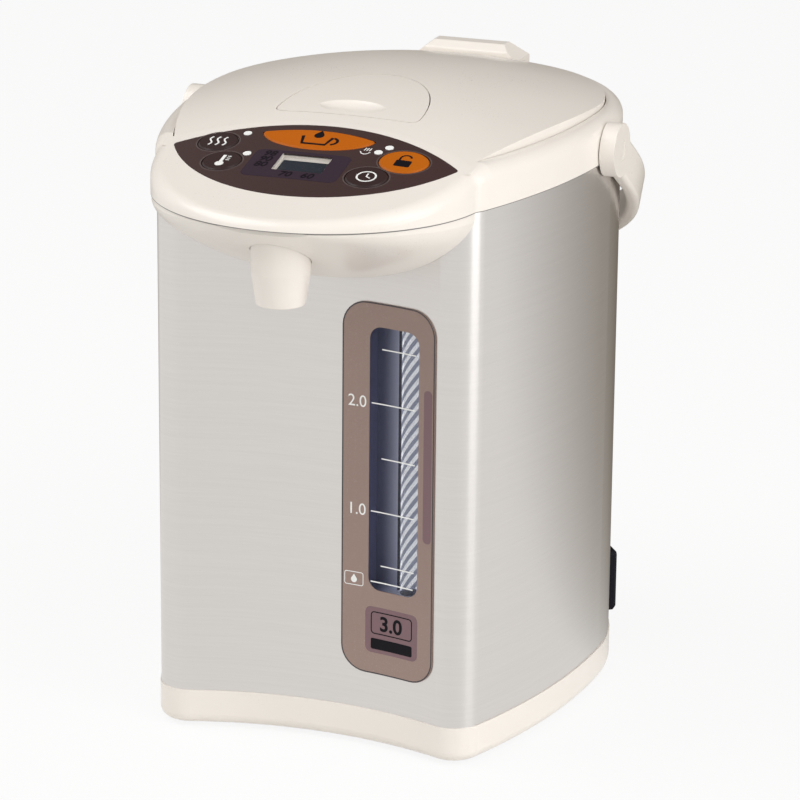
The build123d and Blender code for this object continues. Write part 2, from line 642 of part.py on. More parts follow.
# ---------------------------------------------------------------- shoulder casing and beak
SKIN = 3.0                 # moulding under the panel
MOUTH_RADIUS = CONTAINER_OUTER + 0.4
NOTCH_HALF_WIDTH = HINGE_HALF_WIDTH + 0.8
HINGE_PIN_REACH = 31.0
HINGE_BARREL = HALF_WIDTH - HINGE_Y
HANDLE_PIN_RADIUS = 2.6
PIN_ANCHOR = 6.0           # handle pin inside the casing, from the boss
BOSS_FACE = HALF_WIDTH + CASING_PROUD - 0.1     # inner face of the handle's bosses
BOLT_WIDTH = 24.0
BOLT_HEIGHT = 3.5
BOLT_LENGTH = 20.0
BOLT_Z = RIM - LID_SKIRT + 2.8
KEYS = {                   # x, y, half width, half depth; x from the panel's ends
    "dispense_key": (-3.0, -109.0, PANEL_HALF_WIDTH - 40.5, 9.6),
    "unlock_key": (PANEL_HALF_WIDTH - 25.5, -120.5, 11.2, 9.4),
    "reboil_key": (20.5 - PANEL_HALF_WIDTH, -117.8, 9.1, 8.2),
    "temperature_key": (29.3 - PANEL_HALF_WIDTH, -134.8, 8.8, 8.2),
    "timer_key": (PANEL_HALF_WIDTH - 36.7, -137.2, 9.4, 8.6),
}
KEY_CUT = 4.5              # middle of the long key's oval behind the key's own middle
KEY_BOW = 75.6             # radius of its rear edge
KEY_CORNER = 1.5
LCD = (-1.5, -131.3, PANEL_HALF_WIDTH - 44.0, 15.0)
LED_SPOTS = ((31.0 - PANEL_HALF_WIDTH, -108.7), (38.1 - PANEL_HALF_WIDTH, -126.7),
             (PANEL_HALF_WIDTH - 39.5, -115.0), (PANEL_HALF_WIDTH - 36.2, -110.0))
LED_RADIUS = 1.9
POST_SPOTS = ((10.5 - PANEL_HALF_WIDTH, -128), (PANEL_HALF_WIDTH - 10.5, -128),
              (45.5 - PANEL_HALF_WIDTH, -144), (PANEL_HALF_WIDTH - 52.5, -144))
LCD_RECESS = 3.0           # opening in the casing wider than the window in the panel
BOSS_GAP = 0.7             # round the handle's bosses
POCKET_DEPTH = 6.5


def panel_level(depth):
    """Plane parallel to the panel, depth below its middle line; v runs up the slope."""
    return PANEL_PLANE.offset(-depth)


def on_panel(x, y):
    """Location on the panel's plane of the plan position (x, y)."""
    return x, (y - LID_FRONT_Y) / cos(radians(PANEL_SLOPE))


def lens_profile(shrink=0.0):
    """Panel in plan: an eye between the lid's front edge and the nose."""
    rear_sag = PANEL_REAR_Y - PANEL_END_Y
    front_sag = PANEL_END_Y - PANEL_FRONT_Y
    rear_radius = (PANEL_HALF_WIDTH**2 + rear_sag**2) / (2 * rear_sag)
    front_radius = (PANEL_HALF_WIDTH**2 + front_sag**2) / (2 * front_sag)
    with BuildSketch() as profile:
        with Locations((0, PANEL_REAR_Y - rear_radius)):
            Circle(rear_radius - shrink)
        with Locations((0, PANEL_FRONT_Y + front_radius)):
            Circle(front_radius - shrink, mode=Mode.INTERSECT)
        fillet(profile.vertices(), 2.0 - shrink)
    return profile.sketch


def key_profile(name, grow=0.0):
    """Key outline on the panel's plane, grown by grow."""
    x, y, half_x, half_y = KEYS[name]
    lean = cos(radians(PANEL_SLOPE))
    with BuildSketch() as profile:
        if name == "dispense_key":
            with Locations(on_panel(x, y + KEY_CUT)):
                Ellipse((half_y + KEY_CUT) / lean + grow, half_x + grow, rotation=90)
            with Locations(on_panel(x, y + half_y - KEY_BOW)):
                Circle(KEY_BOW + grow, mode=Mode.INTERSECT)
            fillet(profile.vertices(), KEY_CORNER)
        else:
            with Locations(on_panel(x, y)):
                Ellipse(half_x + grow, half_y / lean + grow)
    return profile.sketch


def below(z):
    """Block under the level z, wider than the whole pot."""
    with BuildPart() as block:
        with BuildSketch(level(0)):
            Rectangle(5 * HALF_WIDTH, 5 * HALF_WIDTH)
        extrude(amount=z)
    return block.part


def rounded_casing(form):
    """Casing outline under form, with its upper edge rounded."""
    with BuildPart() as block:
        with BuildSketch(level(SHELL_TOP)):
            add(casing_profile(CASING_PROUD))
        extrude(amount=5 * RING_HEIGHT)
        add(form, mode=Mode.INTERSECT)
        fillet(block.faces().sort_by(Axis.Z)[-1].edges(), RIM_ROUNDING)
    return block.part


def behind_arc(shrink):
    """Large disc whose back edge is the lid's front edge, moved forward by shrink."""
    with BuildSketch() as profile:
        with Locations((0, LID_FRONT_Y - LID_FRONT_RADIUS)):
            Circle(LID_FRONT_RADIUS - shrink)
    return profile.sketch


with BuildPart() as hump:
    with BuildSketch(level(RIM - 3)):
        with Locations((0, NOSE_Y)):
            Ellipse(NOSE_HALF_WIDTH - 2, NOSE_REACH - RIM_ROUNDING - 2)
        add(behind_arc(0), mode=Mode.INTERSECT)
    extrude(amount=RING_HEIGHT)
    add(panel_form(), mode=Mode.INTERSECT)


def beak_room(shrink):
    """Upright prism inside the beak, drawn in by shrink from its nose and from the lid."""
    with BuildPart() as room:
        with BuildSketch(level(SHELL_TOP)):
            with Locations((0, NOSE_Y)):
                Ellipse(NOSE_HALF_WIDTH - shrink, NOSE_REACH - shrink)
            add(behind_arc(shrink), mode=Mode.INTERSECT)
        extrude(amount=2 * RING_HEIGHT)
    return room.part


with BuildPart() as beak_space:
    add(beak_room(SKIN))
    add(panel_form(SKIN), mode=Mode.INTERSECT)

with BuildPart() as panel_pocket:
    with BuildSketch(level(RIM - RING_HEIGHT)):
        add(lens_profile())
    extrude(amount=2 * RING_HEIGHT)
    add(panel_form(OVERLAY), mode=Mode.SUBTRACT)

with BuildPart() as top_casing:
    add(rounded_casing(below(RIM)))
    add(rounded_casing(panel_form()), mode=Mode.INTERSECT)
    add(hump.part)
    add(beak_space.part, mode=Mode.SUBTRACT)
    with BuildSketch(level(DECK)):                               # lid recess
        add(lid_plan(-LID_GAP))
    extrude(amount=RING_HEIGHT, mode=Mode.SUBTRACT)
    with BuildSketch(level(SHELL_TOP)):                          # hollow under the deck
        add(body_profile(-PLASTIC_WALL))
    extrude(amount=DECK_RISE - DECK_WALL, mode=Mode.SUBTRACT)
    with BuildSketch(level(SHELL_TOP)):                          # container mouth
        Circle(MOUTH_RADIUS)
    extrude(amount=RING_HEIGHT, mode=Mode.SUBTRACT)
    add(panel_pocket.part, mode=Mode.SUBTRACT)
    with BuildSketch(panel_level(SKIN + 4)):                     # windows for keys, display, lamps
        for name in KEYS:
            add(key_profile(name, KEY_GAP))
        with Locations(on_panel(LCD[0], LCD[1])):
            Rectangle(LCD[2] + LCD_RECESS, LCD[3] + LCD_RECESS)
        with Locations(*[on_panel(x, y) for x, y in LED_SPOTS]):
            Circle(LED_RADIUS + RUNNING_FIT)
    extrude(amount=SKIN + 6, mode=Mode.SUBTRACT)
    with BuildSketch(panel_level(BOARD_DEPTH)):                  # posts for the control board
        with Locations(*[on_panel(x, y) for x, y in POST_SPOTS]):
            Circle(POST_RADIUS)
    extrude(amount=BOARD_DEPTH - SKIN + 0.1)
    with BuildSketch(across(LID_FRONT_Y + 1)):                   # pocket for the latch bolt
        with Locations((0, BOLT_Z + BOLT_HEIGHT / 2)):
            Rectangle(BOLT_WIDTH + 2 * SEAT, BOLT_HEIGHT + 2 * SEAT)
    extrude(amount=POCKET_DEPTH, mode=Mode.SUBTRACT)
    with BuildSketch(level(HINGE_Z - HINGE_BARREL - 0.6)):       # hinge notch
        with Locations((0, LID_REAR_Y)):
            Rectangle(2 * NOTCH_HALF_WIDTH, 40, align=(Align.CENTER, Align.MIN))
    extrude(amount=RING_HEIGHT, mode=Mode.SUBTRACT)
    with BuildSketch(along(-HINGE_PIN_REACH)):                   # hinge pin
        with Locations((HINGE_Y, HINGE_Z)):
            Circle(HINGE_PIN_RADIUS)
    extrude(amount=2 * HINGE_PIN_REACH, mode=Mode.SUBTRACT)
    for side in (-1, 1):                                         # handle bosses and pins
        with BuildSketch(along(side * BOSS_FACE)):
            with Locations((HANDLE_PIVOT_Y, PIVOT_Z)):
                Circle(HANDLE_BOSS_RADIUS + BOSS_GAP)
        extrude(amount=side * HANDLE_WIDTH, mode=Mode.SUBTRACT)
        with BuildSketch(along(side * (BOSS_FACE - PIN_ANCHOR))):
            with Locations((HANDLE_PIVOT_Y, PIVOT_Z)):
                Circle(HANDLE_PIN_RADIUS)
        extrude(amount=side * PIN_ANCHOR, mode=Mode.SUBTRACT)
save(top_casing, "top_casing")

# ---------------------------------------------------------------- lower cover and spout
COVER_STATIONS = (0.0, 0.22, 0.44, 0.66, 0.84, 0.96)
NOZZLE_WALL = 1.8
NOZZLE_TOP = SHELL_TOP - 4.5            # front of the nozzle's slanted upper end
NOZZLE_WEB = SPOUT_TIP_Z + 15.0
HOSE_Z = SHELL_TOP - 7.0                # level run of the delivery hose
HOSE_RADIUS = TUBE_RADIUS + 1.5
HOSE_BEND = 9.0
HOSE_LAP = 6.0             # how far a hose is pushed over its tube
WEB_HEIGHT = 2.0           # disc that joins the nozzle's inner tube to its wall
TIP_INSET = 3.0            # inner tube above the nozzle's mouth
TUBE_BOTTOM = ELBOW_Z + HOSE_BEND + 3
TUBE_TOP = HOSE_Z - HOSE_BEND - 1


def cover_form(shrink=0.0):
    """Boat-shaped underside of the beak, drawn in by shrink."""
    with BuildPart() as form:
        for station in COVER_STATIONS:
            half = NOSE_HALF_WIDTH * sqrt(1 - station**2) + 0.5 - shrink
            deep = COVER_DEPTH * (1 - station**1.3) ** 0.9 - shrink
            if deep > 1:
                with BuildSketch(across(NOSE_Y - station * NOSE_REACH)):
                    with Locations((0, SHELL_TOP)):
                        Ellipse(half, deep)
                        Rectangle(2 * half, deep, align=(Align.CENTER, Align.MIN),
                                  mode=Mode.SUBTRACT)
        loft()
    return form.part


with BuildPart() as spout_cover:
    add(cover_form())
    with BuildSketch(level(SHELL_TOP - COVER_DEPTH)):
        with Locations((0, NOSE_Y)):
            Ellipse(NOSE_HALF_WIDTH, NOSE_REACH)
    extrude(amount=COVER_DEPTH, mode=Mode.INTERSECT)
    add(cover_form(PLASTIC_WALL), mode=Mode.SUBTRACT)
    with BuildSketch(level(SKIRT_TOP)):
        add(body_profile(SEAT))
        with Locations((0, SPOUT_Y)):
            Circle(SPOUT_ROOT_RADIUS + SEAT)
    extrude(amount=SHELL_HEIGHT, mode=Mode.SUBTRACT)
save(spout_cover, "spout_cover")

with BuildPart() as spout_nozzle:
    with BuildSketch(across(SPOUT_Y)):
        with BuildLine():
            Polyline((SPOUT_TIP_RADIUS, SPOUT_TIP_Z), (SPOUT_ROOT_RADIUS, NOZZLE_WEB),
                     (SPOUT_ROOT_RADIUS, NOZZLE_TOP),
                     (SPOUT_ROOT_RADIUS - NOZZLE_WALL, NOZZLE_TOP),
                     (SPOUT_ROOT_RADIUS - NOZZLE_WALL, NOZZLE_WEB),
                     (SPOUT_TIP_RADIUS - NOZZLE_WALL, SPOUT_TIP_Z),
                     (SPOUT_TIP_RADIUS, SPOUT_TIP_Z))
        make_face()
        with Locations(((TUBE_RADIUS + TUBE_BORE) / 2, SPOUT_TIP_Z + TIP_INSET)):
            Rectangle(TUBE_RADIUS - TUBE_BORE, TUBE_TOP - SPOUT_TIP_Z - TIP_INSET,
                      align=(Align.CENTER, Align.MIN))
        with Locations((TUBE_BORE, NOZZLE_WEB)):
            Rectangle(SPOUT_ROOT_RADIUS - TUBE_BORE - 1, WEB_HEIGHT, align=Align.MIN)
    revolve(axis=Axis((0, AXIS_Y + SPOUT_Y, 0), (0, 0, 1)))
    fillet(spout_nozzle.edges().sort_by(Axis.Z)[:2], 0.8)
    with BuildSketch(along(-SPOUT_ROOT_RADIUS)):
        with BuildLine():
            Polyline((SPOUT_Y - SPOUT_ROOT_RADIUS, NOZZLE_TOP),
                     (SPOUT_Y + SPOUT_ROOT_RADIUS, NOZZLE_WEB + 4),
                     (SPOUT_Y + SPOUT_ROOT_RADIUS, NOZZLE_TOP),
                     (SPOUT_Y - SPOUT_ROOT_RADIUS, NOZZLE_TOP))
        make_face()
    extrude(amount=2 * SPOUT_ROOT_RADIUS, mode=Mode.SUBTRACT)
save(spout_nozzle, "spout_nozzle")


def hose(*points):
    """Soft hose along the points, slipped over the tube at each end."""
    route = [(x, AXIS_Y + y, z) for x, y, z in points]
    with BuildPart() as tube:
        with BuildLine() as path:
            FilletPolyline(*route, radius=HOSE_BEND)
        with BuildSketch(Plane(path.line @ 0, z_dir=path.line % 0)):
            Circle(HOSE_RADIUS)
            Circle(TUBE_RADIUS + RUNNING_FIT, mode=Mode.SUBTRACT)
        sweep()
    return tube.part


with BuildPart() as delivery_hose:
    add(hose((TUBE_X, TUBE_Y, TUBE_TOP - HOSE_LAP), (TUBE_X, TUBE_Y, HOSE_Z),
             (0, SPOUT_Y, HOSE_Z), (0, SPOUT_Y, NOZZLE_WEB + WEB_HEIGHT)))
save(delivery_hose, "delivery_hose")

with BuildPart() as pump_hose:
    add(hose((TUBE_X, PUMP_Y - OUTLET_REACH + HOSE_LAP, ELBOW_Z),
             (TUBE_X, TUBE_Y, ELBOW_Z), (TUBE_X, TUBE_Y, TUBE_BOTTOM + HOSE_LAP)))
save(pump_hose, "pump_hose")

# ---------------------------------------------------------------- level gauge
GAUGE_REAR_Y = TUBE_Y + 9.5
GAUGE_WALL = 1.5
GAUGE_MARGIN = 2.5         # tray beyond the glass
BACKING_WALL = 1.2
BACKING_STEM = 4.0
WINDOW_CORNER = 12.0
FLANGE_LIP = 2.5           # lens flange behind the plate

with BuildPart() as level_tube:
    with BuildSketch(level(TUBE_BOTTOM)):
        with Locations((TUBE_X, TUBE_Y)):
            Circle(TUBE_RADIUS)
            Circle(TUBE_BORE, mode=Mode.SUBTRACT)
    extrude(amount=TUBE_TOP - TUBE_BOTTOM)
save(level_tube, "level_tube")

with BuildPart() as gauge_housing:
    with BuildSketch(level(GLASS_BOTTOM - GAUGE_MARGIN - GAUGE_WALL)):
        with Locations((GLASS_X, GAUGE_REAR_Y)):
            Rectangle(GLASS_WIDTH + 2 * (GAUGE_MARGIN + GAUGE_WALL), 30,
                      align=(Align.CENTER, Align.MAX))
        add(body_profile(-SHELL_WALL - SEAT), mode=Mode.INTERSECT)
        with Locations((TUBE_X, TUBE_Y)):
            Circle(TUBE_RADIUS + RUNNING_FIT, mode=Mode.SUBTRACT)
    extrude(amount=GLASS_TOP - GLASS_BOTTOM + 2 * (GAUGE_MARGIN + GAUGE_WALL))
    with BuildSketch(level(GLASS_BOTTOM - GAUGE_MARGIN)):
        with Locations((GLASS_X, GAUGE_REAR_Y - GAUGE_WALL)):
            Rectangle(GLASS_WIDTH + 2 * GAUGE_MARGIN, 30, align=(Align.CENTER, Align.MAX))
    extrude(amount=GLASS_TOP - GLASS_BOTTOM + 2 * GAUGE_MARGIN, mode=Mode.SUBTRACT)
save(gauge_housing, "gauge_housing")

with BuildPart() as gauge_backing:
    with BuildSketch(level(GLASS_BOTTOM - GAUGE_MARGIN + SEAT)):
        with Locations((TUBE_X, TUBE_Y)):
            Circle(TUBE_RADIUS + SEAT + BACKING_WALL)
            Circle(TUBE_RADIUS + SEAT, mode=Mode.SUBTRACT)
            Rectangle(40, 20, align=(Align.CENTER, Align.MAX), mode=Mode.SUBTRACT)
        with Locations((TUBE_X, GAUGE_REAR_Y - GAUGE_WALL)):
            Rectangle(BACKING_STEM, GAUGE_REAR_Y - GAUGE_WALL - TUBE_Y - TUBE_RADIUS - 2 * SEAT,
                      align=(Align.CENTER, Align.MAX))
    extrude(amount=GLASS_TOP - GLASS_BOTTOM + 2 * GAUGE_MARGIN - 2 * SEAT)
save(gauge_backing, "gauge_backing")


def front_skin(outer, inner):
    """Thin skin along the front, from the outline grown by inner to that grown by outer."""
    with BuildPart() as skin:
        with BuildSketch(level(WINDOW_BOTTOM)):
            add(body_profile(outer))
            add(body_profile(inner), mode=Mode.SUBTRACT)
            with Locations((WINDOW_X, -FRONT_DEPTH)):
                Rectangle(2 * WINDOW_WIDTH, 40, mode=Mode.INTERSECT)
        extrude(amount=WINDOW_TOP - WINDOW_BOTTOM)
    return skin.part


with BuildPart() as window_plate:
    add(front_skin(PLATE_PROUD, RUNNING_FIT))
    with BuildSketch(across(FRONT_CUT_Y)):
        with Locations((WINDOW_X, (WINDOW_BOTTOM + WINDOW_TOP) / 2)):
            RectangleRounded(WINDOW_WIDTH, WINDOW_TOP - WINDOW_BOTTOM, WINDOW_CORNER)
    extrude(amount=FRONT_CUT, mode=Mode.INTERSECT)
    add(glass_block(0), mode=Mode.SUBTRACT)
save(window_plate, "window_plate")

with BuildPart() as lens_flange:
    add(front_skin(0, -SHELL_WALL))
    add(glass_block(FLANGE_LIP), mode=Mode.INTERSECT)

with BuildPart() as window_lens:
    add(front_skin(PLATE_PROUD - 0.2, -SHELL_WALL))
    add(glass_block(-RUNNING_FIT), mode=Mode.INTERSECT)
    add(lens_flange.part)
save(window_lens, "window_lens")

# ---------------------------------------------------------------- control panel
KEY_FLANGE = 1.2           # thickness of the flange that holds a key in
KEY_LIP = 0.6              # flange beyond the key's outline
KEY_EDGE = 0.6             # rounding of each key's upper edge
STEM_RADIUS = 3.0
STEM_DEPTH = 7.0
DOME_SWITCH_RADIUS = 4.0
MAT_DEPTH = 8.2
MAT_SHEET = 0.8
LCD_LIP = 1.2              # window's flange under the panel
LCD_FIT = 0.1
LCD_DEPTH = 2.0            # underside of the display's window below the panel
POWER_BLOCKS = ((-20, 5, 26, 24), (14, -8, 16, 12))     # x, y from the board's middle, sides
BLOCK_HEIGHT = 16.0
CAPACITOR = (18, 12, 5)    # x, y, radius
CAPACITOR_HEIGHT = 12.0
BOARD_HALF_WIDTH = PANEL_HALF_WIDTH - 5.5
BOARD_FRONT_Y = -149.0
BOARD_MARGIN = 3.0


def panel_prism(sketch, deep):
    """Prism of a sketch lying on the panel's plane, from deep below it to well above."""
    with BuildPart() as prism:
        with BuildSketch(panel_level(deep)):
            add(sketch)
        extrude(amount=deep + 3)
    return prism.part


with BuildPart() as control_panel:
    with BuildSketch(level(RIM - RING_HEIGHT)):
        add(lens_profile(0.1))
    extrude(amount=2 * RING_HEIGHT)
    add(panel_form(), mode=Mode.INTERSECT)
    add(panel_form(OVERLAY), mode=Mode.SUBTRACT)
    with BuildSketch(panel_level(SKIN + 2)):
        for name in KEYS:
            add(key_profile(name, KEY_GAP))
        with Locations(on_panel(LCD[0], LCD[1])):
            Rectangle(LCD[2], LCD[3])
        with Locations(*[on_panel(x, y) for x, y in LED_SPOTS]):
            Circle(LED_RADIUS + RUNNING_FIT)
    extrude(amount=SKIN + 4, mode=Mode.SUBTRACT)
save(control_panel, "control_panel")

for name, (x, y, half_x, half_y) in KEYS.items():
    with BuildPart() as flange:
        add(panel_prism(key_profile(name, KEY_LIP), STEM_DEPTH))
        add(beak_room(SKIN + KEY_GAP), mode=Mode.INTERSECT)
        add(panel_form(SKIN + SEAT), mode=Mode.INTERSECT)
        add(panel_form(SKIN + SEAT + KEY_FLANGE), mode=Mode.SUBTRACT)
    with BuildPart() as key:
        add(panel_prism(key_profile(name), STEM_DEPTH))
        add(panel_form(-KEY_PROUD), mode=Mode.INTERSECT)
        add(panel_form(SKIN + SEAT + KEY_FLANGE), mode=Mode.SUBTRACT)
        chamfer(key.faces().sort_by(Axis((0, 0, 0), PANEL_PLANE.z_dir))[-1].edges(), KEY_EDGE)
        add(flange.part)
        with BuildSketch(panel_level(STEM_DEPTH)):
            with Locations(on_panel(x, y)):
                Circle(STEM_RADIUS)
        extrude(amount=STEM_DEPTH - SKIN)
    save(key, name)

with BuildPart() as lcd_window:
    with BuildSketch(panel_level(SKIN)):
        with Locations(on_panel(LCD[0], LCD[1])):
            Rectangle(LCD[2] - 2 * LCD_FIT, LCD[3] - 2 * LCD_FIT)
    extrude(amount=SKIN + 2)
    add(panel_form(), mode=Mode.INTERSECT)
    with BuildSketch(panel_level(LCD_DEPTH)):
        with Locations(on_panel(LCD[0], LCD[1])):
            Rectangle(LCD[2] + 2 * LCD_LIP, LCD[3] + 2 * LCD_LIP)
    extrude(amount=LCD_DEPTH - OVERLAY - 2 * LCD_FIT)
    add(panel_form(LCD_DEPTH), mode=Mode.SUBTRACT)
save(lcd_window, "lcd_window")

with BuildPart() as lcd_module:
    with BuildSketch(panel_level(BOARD_DEPTH)):
        with Locations(on_panel(LCD[0], LCD[1])):
            Rectangle(LCD[2] + 2 * LCD_LIP, LCD[3] + 2 * LCD_LIP)
    extrude(amount=BOARD_DEPTH - LCD_DEPTH - SEAT)
save(lcd_module, "lcd_module")

with BuildPart() as indicator_leds:
    with BuildSketch(panel_level(BOARD_DEPTH)):
        with Locations(*[on_panel(x, y) for x, y in LED_SPOTS]):
            Circle(LED_RADIUS)
    extrude(amount=BOARD_DEPTH + 2)
    add(panel_form(-0.2), mode=Mode.INTERSECT)
save(indicator_leds, "indicator_leds")


def board_form(depth, thickness):
    """Flat board inside the beak, its upper face depth below the panel's middle line."""
    with BuildPart() as board:
        with BuildSketch(panel_level(depth + thickness)):
            with Locations(on_panel(0, BOARD_FRONT_Y)):
                Rectangle(2 * BOARD_HALF_WIDTH, 70, align=(Align.CENTER, Align.MIN))
        extrude(amount=thickness)
        add(beak_room(SKIN + BOARD_MARGIN), mode=Mode.INTERSECT)
    return board.part


with BuildPart() as control_board:
    add(board_form(BOARD_DEPTH, BOARD))
save(control_board, "control_board")

with BuildPart() as key_mat:
    add(board_form(BOARD_DEPTH - MAT_SHEET, MAT_SHEET))
    with BuildSketch(panel_level(BOARD_DEPTH)):
        with Locations(*[on_panel(x, y) for x, y, _, _ in KEYS.values()]):
            Circle(DOME_SWITCH_RADIUS)
    extrude(amount=BOARD_DEPTH - MAT_DEPTH)
    with BuildSketch(panel_level(BOARD_DEPTH)):
        with Locations(*[on_panel(x, y) for x, y in POST_SPOTS]):
            Circle(POST_RADIUS + SEAT)
        with Locations(*[on_panel(x, y) for x, y in LED_SPOTS]):
            Circle(LED_RADIUS + SEAT)
        with Locations(on_panel(LCD[0], LCD[1])):
            Rectangle(LCD[2] + 2 * LCD_LIP + 1, LCD[3] + 2 * LCD_LIP + 1)
    extrude(amount=BOARD_DEPTH, mode=Mode.SUBTRACT)
save(key_mat, "key_mat")

with BuildPart() as power_board:
    with BuildSketch(level(POWER_BOARD_Z)):
        with Locations((0, POWER_BOARD_Y)):
            Rectangle(POWER_BOARD_WIDTH, POWER_BOARD_DEPTH)
    extrude(amount=BOARD)
    with BuildSketch(level(POWER_BOARD_Z + BOARD)):
        for x, y, width, depth in POWER_BLOCKS:
            with Locations((x, POWER_BOARD_Y + y)):
                Rectangle(width, depth)
    extrude(amount=BLOCK_HEIGHT)
    with BuildSketch(level(POWER_BOARD_Z + BOARD)):
        with Locations((CAPACITOR[0], POWER_BOARD_Y + CAPACITOR[1])):
            Circle(CAPACITOR[2])
    extrude(amount=CAPACITOR_HEIGHT)
save(power_board, "power_board")

# ---------------------------------------------------------------- lid
LID_FLOOR = RIM - LID_SKIRT
LID_PLATE = 2.5
CUP_WALL = 1.5
CUP_FLOOR = RIM - 3.5
PLUG_RADIUS = CONTAINER_RADIUS - 5.6
PLUG_BOTTOM = LID_FLOOR - 9.5
GASKET_RADIUS = CONTAINER_RADIUS - 0.6
VALVE_Y = 30.0
VALVE_RADIUS = 6.0
VALVE_HEIGHT = 5.0
VALVE_PORT = 3.5
COVER_NOTCH_Y = LID_REAR_Y - 4.0
RELEASE_PIN_RADIUS = 1.3
RELEASE_PIN_REACH = 17.3
EYE_RADIUS = 3.0           # eye of the release plate on its pin
EYE_HALF_WIDTH = 12.0
RELEASE_Z = dome_height(PLATE_PIVOT_Y) - PLATE_THICKNESS - EYE_RADIUS
PLATE_CORNER = 4.0
SCOOP_HALF_WIDTH = 30.0
SCOOP_RADIUS = 13.0
SCOOP_Y = -75.0
SCOOP_Z = dome_height(SCOOP_Y) + 11     # middle of the spheroid that hollows the scoop


def plate_profile(grow=0.0):
    """Release plate in plan: half an oval, straight along the front."""
    with BuildSketch() as profile:
        with Locations((0, PLATE_Y)):
            Ellipse(PLATE_HALF_WIDTH + grow, PLATE_DEPTH + grow)
        with Locations((0, PLATE_FRONT_Y - grow)):
            Rectangle(4 * PLATE_HALF_WIDTH, 4 * PLATE_DEPTH, align=(Align.CENTER, Align.MIN),
                      mode=Mode.INTERSECT)
        fillet(profile.vertices().group_by(Axis.Y)[0], PLATE_CORNER + grow)
    return profile.sketch


with BuildPart() as lid_space:
    with BuildSketch(level(LID_FLOOR)):
        add(lid_plan(LID_WALL))
    extrude(amount=3 * RING_HEIGHT)
    add(dome_form(LID_WALL), mode=Mode.INTERSECT)

with BuildPart() as plate_cup:
    with BuildSketch(level(CUP_FLOOR)):
        add(plate_profile(PLATE_GAP + CUP_WALL))
    extrude(amount=RING_HEIGHT)
    add(dome_form(), mode=Mode.INTERSECT)

with BuildPart() as lid_cover:
    with BuildSketch(level(LID_FLOOR)):
        add(lid_plan())
    extrude(amount=3 * RING_HEIGHT)
    add(dome_form(), mode=Mode.INTERSECT)
    add(lid_space.part, mode=Mode.SUBTRACT)
    add(plate_cup.part)
    with BuildSketch(level(CUP_FLOOR + CUP_WALL)):
        add(plate_profile(PLATE_GAP))
    extrude(amount=RING_HEIGHT, mode=Mode.SUBTRACT)
    with BuildSketch(level(LID_FLOOR)):
        with Locations((0, COVER_NOTCH_Y)):
            Rectangle(2 * (HINGE_HALF_WIDTH + SEAT), 30, align=(Align.CENTER, Align.MIN))
    extrude(amount=3 * RING_HEIGHT, mode=Mode.SUBTRACT)
    with BuildSketch(across(LID_FRONT_Y + LID_WALL + 2)):
        with Locations((0, BOLT_Z + BOLT_HEIGHT / 2)):
            Rectangle(BOLT_WIDTH + 2 * SEAT, BOLT_HEIGHT + 2 * SEAT)
    extrude(amount=6, mode=Mode.SUBTRACT)
    with BuildSketch(along(-RELEASE_PIN_REACH)):
        with Locations((PLATE_PIVOT_Y, RELEASE_Z)):
            Circle(RELEASE_PIN_RADIUS)
    extrude(amount=2 * RELEASE_PIN_REACH, mode=Mode.SUBTRACT)
save(lid_cover, "lid_cover")

with BuildPart() as release_plate:
    with BuildSketch(level(RIM)):
        add(plate_profile())
    extrude(amount=RING_HEIGHT)
    add(dome_form(), mode=Mode.INTERSECT)
    add(dome_form(PLATE_THICKNESS), mode=Mode.SUBTRACT)
    with BuildSketch(along(-EYE_HALF_WIDTH)):
        with Locations((PLATE_PIVOT_Y, RELEASE_Z)):
            Circle(EYE_RADIUS)
            Rectangle(EYE_RADIUS + 1, EYE_RADIUS + 1, align=(Align.CENTER, Align.MIN))
    extrude(amount=2 * EYE_HALF_WIDTH)
    with BuildSketch(across(SCOOP_Y)):                           # finger scoop
        with Locations((0, SCOOP_Z)):
            Ellipse(SCOOP_HALF_WIDTH, SCOOP_RADIUS)
            Rectangle(3 * SCOOP_HALF_WIDTH, 3 * SCOOP_RADIUS, align=(Align.CENTER, Align.MAX),
                      mode=Mode.SUBTRACT)
    revolve(axis=Axis((0, AXIS_Y + SCOOP_Y, SCOOP_Z), (1, 0, 0)), mode=Mode.SUBTRACT)
    with BuildSketch(along(-RELEASE_PIN_REACH)):
        with Locations((PLATE_PIVOT_Y, RELEASE_Z)):
            Circle(RELEASE_PIN_RADIUS + RUNNING_FIT)
    extrude(amount=2 * RELEASE_PIN_REACH, mode=Mode.SUBTRACT)
save(release_plate, "release_plate")

with BuildPart() as release_pin:
    with BuildSketch(along(-RELEASE_PIN_REACH)):
        with Locations((PLATE_PIVOT_Y, RELEASE_Z)):
            Circle(RELEASE_PIN_RADIUS)
    extrude(amount=2 * RELEASE_PIN_REACH)
save(release_pin, "release_pin")

with BuildPart() as latch_bolt:
    with BuildSketch(level(BOLT_Z)):
        with Locations((0, LID_FRONT_Y + LID_GAP + 0.1)):
            Rectangle(BOLT_WIDTH, BOLT_LENGTH, align=(Align.CENTER, Align.MIN))
    extrude(amount=BOLT_HEIGHT)
    chamfer(latch_bolt.edges().group_by(Axis.Y)[0].sort_by(Axis.Z)[0], 2)
save(latch_bolt, "latch_bolt")

